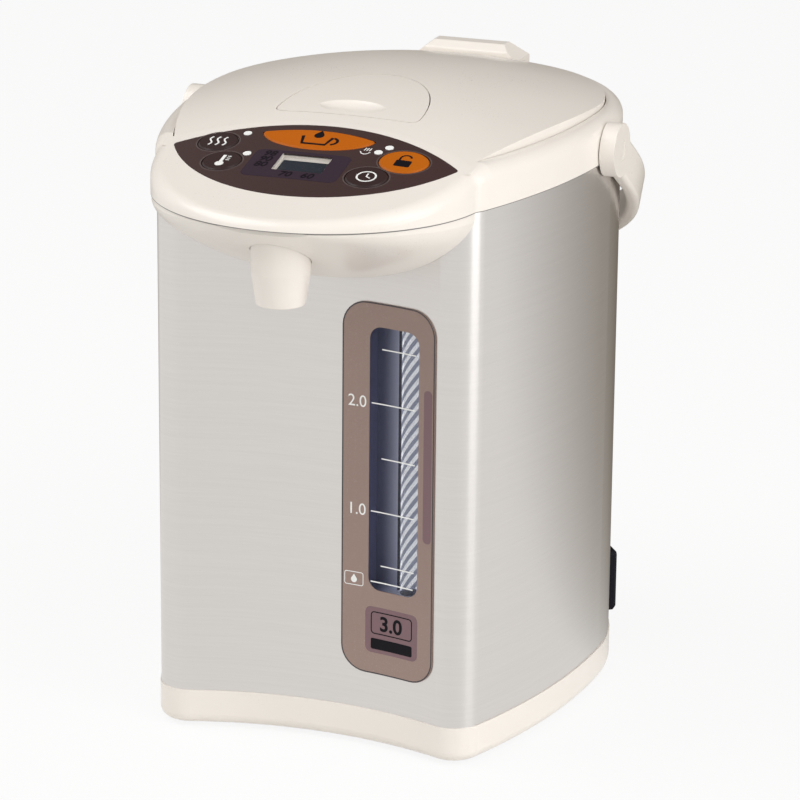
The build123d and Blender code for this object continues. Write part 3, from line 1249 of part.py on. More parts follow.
with BuildPart() as lid_base:
    with BuildSketch(level(LID_FLOOR)):
        add(lid_plan(LID_WALL + 0.1))
        with Locations((0, COVER_NOTCH_Y)):
            Rectangle(2 * (HINGE_HALF_WIDTH + SEAT), 30, align=(Align.CENTER, Align.MIN),
                      mode=Mode.SUBTRACT)
    extrude(amount=LID_PLATE)
    with BuildSketch(level(PLUG_BOTTOM)):
        Circle(PLUG_RADIUS)
        Circle(PLUG_RADIUS - LID_WALL, mode=Mode.SUBTRACT)
        with Locations((0, VALVE_Y)):
            Circle(VALVE_RADIUS + 2)
            Circle(VALVE_RADIUS + SEAT, mode=Mode.SUBTRACT)
    extrude(amount=LID_FLOOR - PLUG_BOTTOM)
save(lid_base, "lid_base")

with BuildPart() as inner_lid_plate:
    with BuildSketch(level(PLUG_BOTTOM - 1)):
        Circle(PLUG_RADIUS)
        with Locations((0, VALVE_Y)):
            Circle(VALVE_PORT, mode=Mode.SUBTRACT)
    extrude(amount=1)
save(inner_lid_plate, "inner_lid_plate")

with BuildPart() as lid_gasket:
    with BuildSketch(across(0)):
        with BuildLine():
            Polyline((PLUG_RADIUS, LID_FLOOR), (GASKET_RADIUS - 2, LID_FLOOR),
                     (GASKET_RADIUS - 2, LID_FLOOR - 2), (GASKET_RADIUS, LID_FLOOR - 5),
                     (GASKET_RADIUS, LID_FLOOR - 6), (PLUG_RADIUS, LID_FLOOR - 4),
                     (PLUG_RADIUS, LID_FLOOR))
        make_face()
    revolve(axis=Axis((0, AXIS_Y, 0), (0, 0, 1)))
save(lid_gasket, "lid_gasket")

with BuildPart() as tip_valve:
    with BuildSketch(level(PLUG_BOTTOM)):
        with Locations((0, VALVE_Y)):
            Circle(VALVE_RADIUS)
    extrude(amount=VALVE_HEIGHT)
    chamfer(tip_valve.faces().sort_by(Axis.Z)[-1].edges(), 1.5)
save(tip_valve, "tip_valve")

HINGE_TOP = RIM + HINGE_TOP_RISE
HINGE_FRONT = COVER_NOTCH_Y + SEAT
HINGE_TOP_HALF_WIDTH = 18.0
HINGE_TONGUE = 40.0        # width of the tongue that holds the cover under the lid

with BuildPart() as hinge_cover:
    with BuildSketch(along(-HINGE_HALF_WIDTH)):
        with BuildLine():
            Polyline((HINGE_FRONT, LID_FLOOR + LID_PLATE), (HINGE_FRONT, HINGE_TOP - 3),
                     (HINGE_FRONT + 5, HINGE_TOP), (HINGE_Y + 1.5, HINGE_TOP),
                     (HALF_WIDTH, HINGE_Z + 4.5), (HALF_WIDTH, HINGE_Z),
                     (HINGE_Y, HINGE_Z), (HINGE_Y, LID_FLOOR + LID_PLATE),
                     (HINGE_FRONT, LID_FLOOR + LID_PLATE))
        make_face()
        with Locations((HINGE_Y, HINGE_Z)):
            Circle(HINGE_BARREL)
    extrude(amount=2 * HINGE_HALF_WIDTH)
    with BuildSketch(across(LID_REAR_Y - 20)):
        with BuildLine():
            Polyline((-HINGE_HALF_WIDTH, LID_FLOOR), (-HINGE_HALF_WIDTH, RIM + 2),
                     (-HINGE_TOP_HALF_WIDTH, HINGE_TOP), (HINGE_TOP_HALF_WIDTH, HINGE_TOP),
                     (HINGE_HALF_WIDTH, RIM + 2),
                     (HINGE_HALF_WIDTH, LID_FLOOR), (-HINGE_HALF_WIDTH, LID_FLOOR))
        make_face()
    extrude(amount=-60, mode=Mode.INTERSECT)
    fillet(hinge_cover.edges().filter_by(lambda e: (e @ 0.5).Z > HINGE_TOP - 3.2), 1.5)
    with BuildSketch(level(LID_FLOOR + LID_PLATE)):
        with Locations((0, HINGE_FRONT + 1)):
            Rectangle(HINGE_TONGUE, 9, align=(Align.CENTER, Align.MAX))
    extrude(amount=LID_PLATE)
    with BuildSketch(along(-HINGE_PIN_REACH)):
        with Locations((HINGE_Y, HINGE_Z)):
            Circle(HINGE_PIN_RADIUS + RUNNING_FIT)
    extrude(amount=2 * HINGE_PIN_REACH, mode=Mode.SUBTRACT)
save(hinge_cover, "hinge_cover")

with BuildPart() as hinge_pin:
    with BuildSketch(along(-HINGE_PIN_REACH)):
        with Locations((HINGE_Y, HINGE_Z)):
            Circle(HINGE_PIN_RADIUS)
    extrude(amount=2 * HINGE_PIN_REACH)
save(hinge_pin, "hinge_pin")

# ---------------------------------------------------------------- handle
HANDLE_STRAIGHT = 25.0     # straight part of each arm
HANDLE_ROUNDING = 2.5
BOSS_OUTER = HANDLE_X + HANDLE_THICKNESS / 2 + 0.3
PIN_HEAD = 5.0
PIN_RECESS = 2.0


def handle_plane(lift):
    """Plane of the folded handle, lift above its middle; v runs from the pivot to the grip."""
    tilt = radians(HANDLE_TILT)
    plane = Plane((0, AXIS_Y + HANDLE_PIVOT_Y, PIVOT_Z), x_dir=(1, 0, 0),
                  z_dir=(0, sin(tilt), cos(tilt)))
    return plane.offset(lift)


with BuildPart() as carry_handle:
    with BuildSketch(handle_plane(-HANDLE_WIDTH / 2)):
        for grow, mode in ((HANDLE_THICKNESS / 2, Mode.ADD),
                           (-HANDLE_THICKNESS / 2, Mode.SUBTRACT)):
            with Locations((0, HANDLE_STRAIGHT)):
                Ellipse(HANDLE_X + grow, HANDLE_LENGTH - HANDLE_STRAIGHT + grow, mode=mode)
                Rectangle(2 * (HANDLE_X + grow), 3 * HANDLE_STRAIGHT,
                          align=(Align.CENTER, Align.MAX), mode=mode)
        Rectangle(3 * HANDLE_X, 3 * HANDLE_LENGTH, align=(Align.CENTER, Align.MIN),
                  mode=Mode.INTERSECT)
    extrude(amount=HANDLE_WIDTH)
    ends = carry_handle.faces().sort_by(Axis((0, 0, 0), handle_plane(0).y_dir))[:2]
    fillet(carry_handle.edges() - ends.edges(), HANDLE_ROUNDING)
    for side in (-1, 1):
        with BuildSketch(along(side * BOSS_OUTER)):
            with Locations((HANDLE_PIVOT_Y, PIVOT_Z)):
                Circle(HANDLE_BOSS_RADIUS)
        extrude(amount=-side * (BOSS_OUTER - BOSS_FACE))
    for side in (-1, 1):
        with BuildSketch(along(side * BOSS_OUTER)):
            with Locations((HANDLE_PIVOT_Y, PIVOT_Z)):
                Circle(PIN_HEAD + RUNNING_FIT)
        extrude(amount=-side * PIN_RECESS, mode=Mode.SUBTRACT)
        with BuildSketch(along(side * BOSS_OUTER)):
            with Locations((HANDLE_PIVOT_Y, PIVOT_Z)):
                Circle(HANDLE_PIN_RADIUS + RUNNING_FIT)
        extrude(amount=-side * HANDLE_WIDTH, mode=Mode.SUBTRACT)
save(carry_handle, "carry_handle")

with BuildPart() as handle_pins:
    for side in (-1, 1):
        with BuildSketch(along(side * (BOSS_FACE - PIN_ANCHOR))):
            with Locations((HANDLE_PIVOT_Y, PIVOT_Z)):
                Circle(HANDLE_PIN_RADIUS)
        extrude(amount=side * (BOSS_OUTER - BOSS_FACE + PIN_ANCHOR - PIN_RECESS + SEAT))
        with BuildSketch(along(side * (BOSS_OUTER - PIN_RECESS + SEAT))):
            with Locations((HANDLE_PIVOT_Y, PIVOT_Z)):
                Circle(PIN_HEAD)
        extrude(amount=side * (PIN_RECESS - 2 * SEAT))
save(handle_pins, "handle_pins")
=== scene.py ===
"""Electric thermo pot: finishes for its moulded, steel and glass parts, its printed panel
and gauge, and the studio that it stands in. Metres; the spout faces -Y and Z is up."""

import logging
from dataclasses import dataclass, field, replace
from enum import Enum
from functools import cache
from math import asin, cos, pi, radians, sin, sqrt
from typing import ClassVar

import bmesh
import bpy
from bpy.types import Material, Mesh, Node, NodeSocket, NodeTree, World
from mathutils import Matrix, Vector


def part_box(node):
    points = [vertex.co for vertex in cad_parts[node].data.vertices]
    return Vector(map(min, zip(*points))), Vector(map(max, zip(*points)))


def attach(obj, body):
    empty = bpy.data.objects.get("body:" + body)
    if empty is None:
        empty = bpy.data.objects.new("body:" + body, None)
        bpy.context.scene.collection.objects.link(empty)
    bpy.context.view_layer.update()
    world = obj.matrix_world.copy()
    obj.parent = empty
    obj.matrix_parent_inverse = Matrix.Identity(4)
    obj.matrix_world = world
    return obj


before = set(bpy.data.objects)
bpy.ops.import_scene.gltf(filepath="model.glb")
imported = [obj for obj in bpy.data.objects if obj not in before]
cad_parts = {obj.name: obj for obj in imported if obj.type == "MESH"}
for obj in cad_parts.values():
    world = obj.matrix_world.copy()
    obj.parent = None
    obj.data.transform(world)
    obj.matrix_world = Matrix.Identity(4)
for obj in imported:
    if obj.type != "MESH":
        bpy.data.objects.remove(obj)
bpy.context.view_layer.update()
LOG = logging.getLogger("thermo_pot")
MM = 0.001
MIDDLE = (0.3, 0.7)  # where the middle part of a noise begins and ends
PLAIN_WHITE = (1.0, 1.0, 1.0)
Colour = tuple[float, float, float]
Point = tuple[float, float]


# ---- node building
@dataclass(frozen=True)
class Signal:
    """A number that varies over a surface or a mesh: one float socket, with arithmetic on it."""

    bench: "Bench"
    socket: NodeSocket

    def apply(self, operation: str, *others: "Signal | float") -> "Signal":
        """Result of a Math node on this signal and the others."""
        return self.bench.math(operation, self, *others)

    def __add__(self, other: "Signal | float") -> "Signal":
        """Sum."""
        return self.apply("ADD", other)

    def __radd__(self, other: float) -> "Signal":
        """Sum with a plain number first."""
        return self.bench.math("ADD", other, self)

    def __sub__(self, other: "Signal | float") -> "Signal":
        """Difference."""
        return self.apply("SUBTRACT", other)

    def __rsub__(self, other: float) -> "Signal":
        """A plain number minus the signal."""
        return self.bench.math("SUBTRACT", other, self)

    def __mul__(self, other: "Signal | float") -> "Signal":
        """Product."""
        return self.apply("MULTIPLY", other)

    def __rmul__(self, other: float) -> "Signal":
        """Product with a plain number first."""
        return self.bench.math("MULTIPLY", other, self)

    def __truediv__(self, other: "Signal | float") -> "Signal":
        """Quotient."""
        return self.apply("DIVIDE", other)

    def bearing(self, other: "Signal") -> "Signal":
        """Angle whose tangent is this signal over the other, in radians."""
        return self.apply("ARCTAN2", other)

    def saw(self) -> "Signal":
        """Fractional part, a ramp from 0 to 1 that repeats."""
        return self.apply("FRACT")

    def size(self) -> "Signal":
        """Absolute value."""
        return self.apply("ABSOLUTE")

    def larger(self, other: "Signal | float") -> "Signal":
        """The larger of the two."""
        return self.apply("MAXIMUM", other)

    def ramp(self, low: float, high: float) -> "Signal":
        """Smooth step from 0 at low to 1 at high; low may be the larger."""
        settings = {"interpolation_type": "SMOOTHSTEP"}
        ramp = self.bench.node("ShaderNodeMapRange", settings, self, low, high)
        return Signal(self.bench, ramp.outputs[0])


Value = Signal | NodeSocket | Material | float | Colour | Vector


class Bench:
    """A node tree under construction, of a material, the world or Geometry Nodes."""

    def __init__(self, tree: NodeTree) -> None:
        """Keep the tree."""
        self.tree = tree

    def node(self, kind: str, settings: dict[str, object], *values: Value,
             **named: Value) -> Node:
        """Add a node.

        Args:
            kind: the node's type.
            settings: attributes that are set before its sockets.
            values: values or links of its first inputs, in order.
            named: values or links of inputs by name, with _ for a space.

        Returns:
            The new node.
        """
        node = self.tree.nodes.new(kind)
        for key, value in settings.items():
            setattr(node, key, value)
        for index, value in enumerate(values):
            self.feed(node.inputs[index], value)
        for key, value in named.items():
            self.feed(node.inputs[key.replace("_", " ")], value)
        return node

    def feed(self, socket: NodeSocket, value: Value) -> None:
        """Link a socket or set its value.

        Args:
            socket: the input.
            value: a signal or an output to link, or a plain value.
        """
        source = value.socket if isinstance(value, Signal) else value
        if isinstance(source, NodeSocket):
            self.tree.links.new(source, socket)
        elif isinstance(source, tuple) and len(source) == 3 and socket.type == "RGBA":
            socket.default_value = (*source, 1.0)
        else:
            socket.default_value = source

    def math(self, operation: str, *values: Signal | float) -> Signal:
        """Result of a Math node with that operation on the values."""
        node = self.node("ShaderNodeMath", {"operation": operation}, *values)
        return Signal(self, node.outputs[0])

    def mix(self, factor: Signal, first: Value, second: Value) -> NodeSocket:
        """Mix two colours.

        Args:
            factor: how much of the second there is.
            first: colour where the factor is 0.
            second: colour where the factor is 1.

        Returns:
            The mixed colour.
        """
        mix = self.node("ShaderNodeMix", {"data_type": "RGBA"}, factor)
        self.feed(mix.inputs[6], first)
        self.feed(mix.inputs[7], second)
        return mix.outputs[2]

    def blend(self, factor: Signal, first: Node, second: Node) -> Node:
        """Mix Shader node that turns from the first shader to the second with the factor."""
        return self.node("ShaderNodeMixShader", {}, factor, first.outputs[0], second.outputs[0])

    def rays(self, *kinds: str) -> list[Signal]:
        """Whether the ray that meets the surface is of each kind."""
        path = self.node("ShaderNodeLightPath", {})
        return [Signal(self, path.outputs[f"Is {kind} Ray"]) for kind in kinds]


def emptied(owner: Material | World) -> NodeTree:
    """Switch nodes on and empty the tree.

    Args:
        owner: a material or world.

    Returns:
        Its node tree.
    """
    owner.use_nodes = True
    owner.node_tree.nodes.clear()
    return owner.node_tree


def shade(colour: Colour, factor: float) -> Colour:
    """A colour made darker or lighter by the factor, at most 1."""
    return tuple(min(1.0, channel * factor) for channel in colour)


class Axis(Enum):
    """Direction in which a metal was brushed or rolled, as factors on its pattern's scale."""

    NONE = (1.0, 1.0, 1.0)
    AROUND = (0.02, 0.02, 1.0)
    ACROSS = (0.02, 1.0, 1.0)


class Recipe(Bench):
    """One material under construction, with a Principled shader at its output."""

    def __init__(self, name: str) -> None:
        """Start a material.

        Args:
            name: its name.
        """
        self.material = bpy.data.materials.new(name)
        super().__init__(emptied(self.material))
        self.shader = self.node("ShaderNodeBsdfPrincipled", {})
        self.output = self.node("ShaderNodeOutputMaterial", {}, self.shader.outputs[0])

    def coordinates(self) -> NodeSocket:
        """Object coordinates, which are the pot's own metres."""
        return self.node("ShaderNodeTexCoord", {}).outputs["Object"]

    def place(self) -> tuple[Signal, Signal, Signal]:
        """Position on the pot in metres: across, along and up."""
        split = self.node("ShaderNodeSeparateXYZ", {}, self.coordinates())
        return tuple(Signal(self, output) for output in split.outputs)

    def noise(self, scale: float, detail: float = 2.0, axis: Axis = Axis.NONE) -> Signal:
        """Smooth noise.

        Args:
            scale: waves to a metre.
            detail: octaves.
            axis: direction in which it is drawn out.

        Returns:
            The noise, about 0.5 on average.
        """
        mapped = self.node("ShaderNodeMapping", {}, self.coordinates(), Scale=axis.value)
        noise = self.node("ShaderNodeTexNoise", {}, Vector=mapped.outputs[0], Scale=scale,
                          Detail=detail)
        return Signal(self, noise.outputs[0])

    def tone(self, mask: Signal, colour: Colour, low: float, high: float) -> NodeSocket:
        """Colour that goes from low to high times itself with the mask."""
        return self.mix(mask, shade(colour, low), shade(colour, high))

    def bump(self, height: Signal, reach: float) -> None:
        """Give the shader a relief of the height signal, reach metres deep."""
        bump = self.node("ShaderNodeBump", {}, Height=height, Distance=reach, Strength=1.0)
        self.feed(self.shader.inputs["Normal"], bump.outputs[0])

    def set(self, **values: Value) -> None:
        """Set or link the shader's own sockets by name, with _ for a space."""
        for key, value in values.items():
            self.feed(self.shader.inputs[key.replace("_", " ")], value)


# ---- finishes
@dataclass(frozen=True)
class Finish:
    """A named finish; each kind of it brews its material in its own way."""

    name: str
    colour: Colour

    @cache
    def make(self) -> Material:
        """Build the material, the first time that it is asked for.

        Returns:
            The material.
        """
        recipe = Recipe(self.name)
        self.brew(recipe)
        return recipe.material

    def brew(self, recipe: Recipe) -> None:
        """Feed the recipe's shader."""
        raise NotImplementedError


@dataclass(frozen=True)
class Moulded(Finish):
    """Injection-moulded plastic with a faint flow mottle and a fine surface texture."""

    roughness: float = 0.32
    mottle: float = 0.04  # part by which the flow varies the colour
    flow: float = 14.0  # waves of the flow to a metre
    grain: float = 1400.0  # waves of the texture to a metre
    texture: float = 0.00002  # depth of the texture
    coat: float = 0.0
    specular: float = 0.5
    seam_shadow_height: float = 0.0  # height of a painted shadow line along the parting seam
    seam_shadow_reach: Point = (0.4 * MM, 0.25 * MM)  # from its soft edge to its middle

    def brew(self, recipe: Recipe) -> None:
        """Mix the mottle, a painted shadow line along the parting seam, and the texture.

        Args:
            recipe: the material's recipe.
        """
        flow = recipe.noise(self.flow, 3.0)
        fine = recipe.noise(self.grain)
        colour = recipe.tone(flow.ramp(*MIDDLE), self.colour, 1 - self.mottle, 1 + self.mottle)
        # painted shadow: a thin line darkened to a fifth of the colour at the parting seam's
        # height
        if self.seam_shadow_height:
            line = (recipe.place()[2] - self.seam_shadow_height).size().ramp(*self.seam_shadow_reach)
            colour = recipe.mix(line, colour, shade(self.colour, 0.2))
        recipe.set(Base_Color=colour,
                   Roughness=self.roughness + 0.1 * (fine - 0.5) + 0.06 * (flow - 0.5),
                   Coat_Weight=self.coat, Coat_Roughness=0.08, Specular_IOR_Level=self.specular)
        recipe.bump(fine, self.texture)


@dataclass(frozen=True)
class Brushed(Finish):
    """Metal brushed in one direction: fine streaks in colour, roughness and relief."""

    axis: Axis = Axis.AROUND
    roughness: float = 0.3
    streak: float = 0.06  # part by which a streak varies the colour
    spread: float = 0.10  # of the roughness
    relief: float = 0.000003
    anisotropy: float = 0.65
    broad: float = 900.0  # waves to a metre of the broad streaks, the fine streaks
    fine: float = 5200.0  # and the clouds in the roughness
    cloud: float = 7.0

    def brew(self, recipe: Recipe) -> None:
        """Mix the streaks and the clouds.

        Args:
            recipe: the material's recipe.
        """
        broad = recipe.noise(self.broad, axis=self.axis)
        fine = recipe.noise(self.fine, axis=self.axis)
        cloud = recipe.noise(self.cloud)
        lines = 0.5 * (broad + fine)
        colour = recipe.tone(lines.ramp(*MIDDLE), self.colour, 1 - self.streak, 1 + self.streak)
        recipe.set(Metallic=1.0, Anisotropic=self.anisotropy, Anisotropic_Rotation=0.25,
                   Base_Color=colour,
                   Roughness=self.roughness + self.spread * (lines - 0.5) + 0.04 * (cloud - 0.5))
        recipe.bump(lines, self.relief)


@dataclass(frozen=True)
class Clear(Finish):
    """Clear or smoked plastic that shows what is behind it."""

    alpha: float = 0.1
    roughness: float = 0.06
    haze: float = 60.0  # waves to a metre

    def brew(self, recipe: Recipe) -> None:
        """Mix the haze.

        Args:
            recipe: the material's recipe.
        """
        haze = recipe.noise(self.haze)
        recipe.set(Base_Color=recipe.tone(haze, self.colour, 0.9, 1.1), Alpha=self.alpha,
                   Roughness=self.roughness + 0.04 * haze)


@dataclass(frozen=True)
class Rubber(Finish):
    """Soft matt rubber with a dusty bloom and fine pores."""

    roughness: float = 0.75
    bloom: float = 40.0  # waves to a metre
    pores: float = 2600.0
    relief: float = 0.00004

    def brew(self, recipe: Recipe) -> None:
        """Mix the bloom and the pores.

        Args:
            recipe: the material's recipe.
        """
        bloom = recipe.noise(self.bloom, 4.0)
        pores = recipe.noise(self.pores)
        recipe.set(Base_Color=recipe.tone(bloom.ramp(0.35, 0.75), self.colour, 1.0, 1.35),
                   Roughness=self.roughness + 0.12 * (pores - 0.5))
        recipe.bump(pores, self.relief)


@dataclass(frozen=True)
class Lacquered(Finish):
    """Circuit board: solder mask over copper tracks that run on a grid."""

    copper: Colour = (0.06, 0.26, 0.10)
    pitch: float = 4.5 * MM
    track: Point = (0.12, 0.08)  # from its soft edge to its middle, in parts of the pitch
    relief: float = 0.00003

    def brew(self, recipe: Recipe) -> None:
        """Draw tracks across and along, which jump where the noise turns.

        Args:
            recipe: the material's recipe.
        """
        across, along, _ = recipe.place()
        wander = recipe.noise(60.0, 1.0)
        first = ((across / self.pitch + 2.0 * wander.ramp(0.45, 0.55)).saw() - 0.5).size()
        second = ((along / self.pitch + 2.0 * wander.ramp(0.55, 0.45)).saw() - 0.5).size()
        tracks = first.ramp(*self.track).larger(
            second.ramp(*self.track) * wander.ramp(0.5, 0.52))
        recipe.set(Base_Color=recipe.mix(tracks, self.colour, self.copper), Roughness=0.35)
        recipe.bump(tracks, self.relief)


@dataclass(frozen=True)
class Enamel(Finish):
    """Printed ink or a display's glass, slightly uneven."""

    roughness: float = 0.45
    specular: float = 0.5
    grain: float = 1800.0  # waves to a metre
    relief: float = 0.000008

    def brew(self, recipe: Recipe) -> None:
        """Mix the grain.

        Args:
            recipe: the material's recipe.
        """
        grain = recipe.noise(self.grain)
        recipe.set(Base_Color=recipe.tone(grain, self.colour, 0.94, 1.04),
                   Roughness=self.roughness + 0.08 * (grain - 0.5),
                   Specular_IOR_Level=self.specular)
        recipe.bump(grain, self.relief)


@dataclass(frozen=True)
class Hatched(Finish):
    """Pale plastic behind the sight tube, printed with slanting stripes that wind round it, with
    a painted glow and its end faces painted dark as shade.
    """

    axis: Point  # the tube's middle in plan
    front: float  # its end faces, unprinted and painted nearly black as shade
    rim: float = 0.3 * MM  # from there to the print
    edge: float = 0.4 * MM  # how softly the print begins
    dark: Colour = (0.20, 0.21, 0.28)
    # painted shade: nearly black on the end faces, where the print stops
    end_shade: Colour = (0.01, 0.01, 0.015)
    pitch: float = 5.85 * MM
    climb: float = 7.2 * MM  # rise of a stripe for each radian round the tube
    stripe: Point = (0.20, 0.29)  # from light to dark, as parts of the pitch
    # painted light: the print glows as an emitter, though it is no lamp
    painted_glow: float = 1.0
    relief: float = 0.00001

    def brew(self, recipe: Recipe) -> None:
        """Print the stripes, paint shade on the end faces and give the print a painted glow.

        Args:
            recipe: the material's recipe.
        """
        across, along, up = recipe.place()
        turn = (across - self.axis[0]).bearing(along - self.axis[1])
        wave = ((up - self.climb * turn) / self.pitch).saw()
        stripe = (wave - 0.5).size().ramp(*self.stripe)
        worn = recipe.noise(500.0, 3.0)
        start = self.front + self.rim
        # painted shade on the end faces, then the printed stripes
        colour = recipe.mix(along.ramp(start, start + self.edge), self.end_shade,
                            recipe.mix(stripe, self.colour, self.dark))
        # painted light: the colour is emitted as well
        recipe.set(Base_Color=colour, Roughness=0.4 + 0.1 * (worn - 0.5),
                   Emission_Color=colour, Emission_Strength=self.painted_glow)
        recipe.bump(worn, self.relief)


@dataclass(frozen=True)
class Shaded(Finish):
    """Dark moulding of the gauge, paler towards its tube."""

    pale: Colour = (0.60, 0.62, 0.76)
    span: Point = (24 * MM, 35 * MM)  # where it turns pale
    grain: float = 1500.0  # waves to a metre
    texture: float = 0.00002

    def brew(self, recipe: Recipe) -> None:
        """Mix the change of colour and the texture.

        Args:
            recipe: the material's recipe.
        """
        fine = recipe.noise(self.grain)
        pale = recipe.place()[0].ramp(*self.span)
        recipe.set(Base_Color=recipe.mix(pale, self.colour, self.pale),
                   Roughness=0.42 + 0.1 * (fine - 0.5))
        recipe.bump(fine, self.texture)


@dataclass(frozen=True)
class Overlay(Finish):
    """Tinted overlay sheet with a fine sparkle and a soft sheen."""

    sparkle: Colour = (0.5, 0.5, 0.5)
    roughness: float = 0.3
    coat: float = 0.3
    flecks: float = 3200.0  # waves to a metre
    relief: float = 0.000006

    def brew(self, recipe: Recipe) -> None:
        """Mix the sheet's tone and its flecks.

        Args:
            recipe: the material's recipe.
        """
        fleck = recipe.noise(self.flecks, 1.0)
        base = recipe.tone(recipe.noise(9.0).ramp(*MIDDLE), self.colour, 0.95, 1.05)
        recipe.set(Base_Color=recipe.mix(fleck.ramp(0.62, 0.72), base, self.sparkle),
                   Roughness=self.roughness + 0.12 * (fleck - 0.5), Coat_Weight=self.coat,
                   Coat_Roughness=0.1)
        recipe.bump(fleck, self.relief)


# ---- shared finishes
CREAM = Moulded("cream_gloss_plastic", (0.84, 0.787, 0.725), roughness=0.3, mottle=0.012,
                coat=0.25)
# painted shadow line at the steel shell's top, where the casing and spout cover meet it
SEAM_SHADOW_CREAM = replace(CREAM, name="cream_parted_plastic", seam_shadow_height=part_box("outer_shell")[1].z)
BROWN_PANEL = Overlay("panel_overlay", (0.044, 0.020, 0.020), (0.066, 0.036, 0.036))
TAUPE_PLATE = Overlay("window_overlay", (0.29, 0.198, 0.165), (0.37, 0.29, 0.255),
                      roughness=0.42)
SHELL_STEEL = Brushed("brushed_shell_steel", (0.755, 0.73, 0.712), streak=0.02, spread=0.05)
PIN_STEEL = Brushed("drawn_pin_steel", (0.62, 0.61, 0.60), Axis.ACROSS, anisotropy=0.0)
LINER_STEEL = Brushed("polished_liner_steel", (0.70, 0.69, 0.68), roughness=0.16, streak=0.02)
ORANGE_KEY = Moulded("orange_key_plastic", (0.48, 0.112, 0.002), roughness=0.34, mottle=0.03,
                     specular=0.15)
BRONZE_KEY = replace(ORANGE_KEY, name="amber_key_plastic", colour=(0.47, 0.115, 0.003))
DARK_KEY = Moulded("dark_key_plastic", (0.034, 0.018, 0.018), roughness=0.3, mottle=0.03,
                   specular=0.25)
SMOKED = Clear("smoked_lens", (0.030, 0.033, 0.055), alpha=0.15)
WINDOW = Clear("display_lens", (0.10, 0.11, 0.12), alpha=0.10)
TUBE = Clear("sight_tube", (0.70, 0.74, 0.80), alpha=0.12)
BLACK = Moulded("black_heatproof_plastic", (0.006, 0.006, 0.010), roughness=0.6,
                texture=0.00004, specular=0.12)
GREY = Moulded("grey_plastic", (0.30, 0.30, 0.31), roughness=0.45)
WHITE = Moulded("white_lamp_plastic", (0.88, 0.88, 0.86), roughness=0.25, mottle=0.01)
SOFT_GREY = Rubber("silicone_grey", (0.42, 0.42, 0.41), roughness=0.6)
SOFT_BLACK = Rubber("rubber_black", (0.035, 0.035, 0.037))
ZINC = Brushed("zinc_plated_steel", (0.56, 0.56, 0.55), roughness=0.38, anisotropy=0.0)
ALLOY = Brushed("cast_alloy", (0.66, 0.66, 0.67), roughness=0.42, anisotropy=0.0)
BOARD = Lacquered("circuit_lacquer", (0.02, 0.13, 0.05))
TUBE_LOW, TUBE_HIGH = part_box("level_tube")
BORE = (TUBE_LOW + TUBE_HIGH) / 2
HATCHING = Hatched("hatched_backing", (0.90, 0.91, 0.93), (BORE.x, BORE.y),
                   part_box("gauge_backing")[0].y)
HOUSING = Shaded("gauge_housing_plastic", (0.10, 0.105, 0.19))
WHITE_INK = Enamel("white_ink", (0.86, 0.86, 0.84))
EDGE_INK = Enamel("edge_line", (0.045, 0.040, 0.045))
PURPLE_INK = Enamel("purple_ink", (0.034, 0.019, 0.032), roughness=0.5, specular=0.2)
BLACK_INK = Enamel("black_ink", (0.004, 0.003, 0.006), specular=0.15)
MAUVE_INK = Enamel("mauve_ink", (0.20, 0.115, 0.128))
RING_INK = Enamel("key_ring_ink", (0.095, 0.070, 0.066))
SCREEN = Enamel("display_glass", (0.010, 0.015, 0.028), roughness=0.35, specular=0.15)


# ---- flat outlines, in mm
def oval(x: float, y: float, half_x: float, half_y: float, count: int = 40) -> list[Point]:
    """Points round an ellipse, against the clock."""
    turns = [2 * pi * step / count for step in range(count)]
    return [(x + half_x * cos(turn), y + half_y * sin(turn)) for turn in turns]


def bow(x: float, y: float, radius: float, start: float, end: float,
        count: int = 12) -> list[Point]:
    """Points on an arc from start to end, in degrees."""
    turns = [radians(start + (end - start) * step / count) for step in range(count + 1)]
    return [(x + radius * cos(turn), y + radius * sin(turn)) for turn in turns]


def drop(x: float, y: float, radius: float, tip: float) -> list[Point]:
    """Outline of a falling drop, round below and pointed at tip above its middle."""
    return [(x, y + tip), *bow(x, y, radius, 150, 390)]


@dataclass(frozen=True)
class Plaque:
    """Rectangle with round corners."""

    left: float
    low: float
    right: float
    high: float
    radius: float

    def outline(self) -> list[Point]:
        """Draw it, against the clock.

        Returns:
            Its points.
        """
        left, low = self.left + self.radius, self.low + self.radius
        right, high = self.right - self.radius, self.high - self.radius
        corners = ((right, low, -90), (right, high, 0), (left, high, 90), (left, low, 180))
        return [point for x, y, turn in corners
                for point in bow(x, y, self.radius, turn, turn + 90, 8)]

    def inset(self, left: float, low: float, right: float, high: float) -> "Plaque":
        """The plaque with each side moved in by its own distance."""
        return Plaque(self.left + left, self.low + low, self.right - right, self.high - high,
                      self.radius)


# ---- surfaces that carry print
@dataclass(frozen=True)
class PanelFace:
    """Crowned top of the beak: a large cylinder that slopes down to the front."""

    origin: Vector = field(default_factory=lambda: Vector((0, -59.58 * MM, 286.8 * MM)))
    slope: float = radians(14.5)
    crown: float = 975 * MM

    def place(self, across: float, along: float, lift: float) -> Vector:
        """Point on the face.

        Args:
            across: distance to the pot's right.
            along: position in plan, towards the back.
            lift: height above the face.

        Returns:
            The point in the pot's frame.
        """
        up = Vector((0, -sin(self.slope), cos(self.slope)))
        back = Vector((0, cos(self.slope), sin(self.slope)))
        run = (along - self.origin.y) / cos(self.slope)
        sag = sqrt(self.crown**2 - across**2) - self.crown
        return self.origin + back * run + Vector((across, 0, 0)) + up * (sag + lift)


@dataclass(frozen=True)
class FrontFace:
    """Hollow front of the steel body: an upright cylinder whose axis is in front of the pot."""

    centre: float = -257.98 * MM
    radius: float = 178.4 * MM

    def place(self, across: float, height: float, lift: float) -> Vector:
        """Point on the face.

        Args:
            across: distance to the pot's right.
            height: height above the table.
            lift: distance in front of the steel.

        Returns:
            The point in the pot's frame.
        """
        turn = asin(across / self.radius)
        reach = self.radius - lift
        return Vector((reach * sin(turn), self.centre + reach * cos(turn), height))


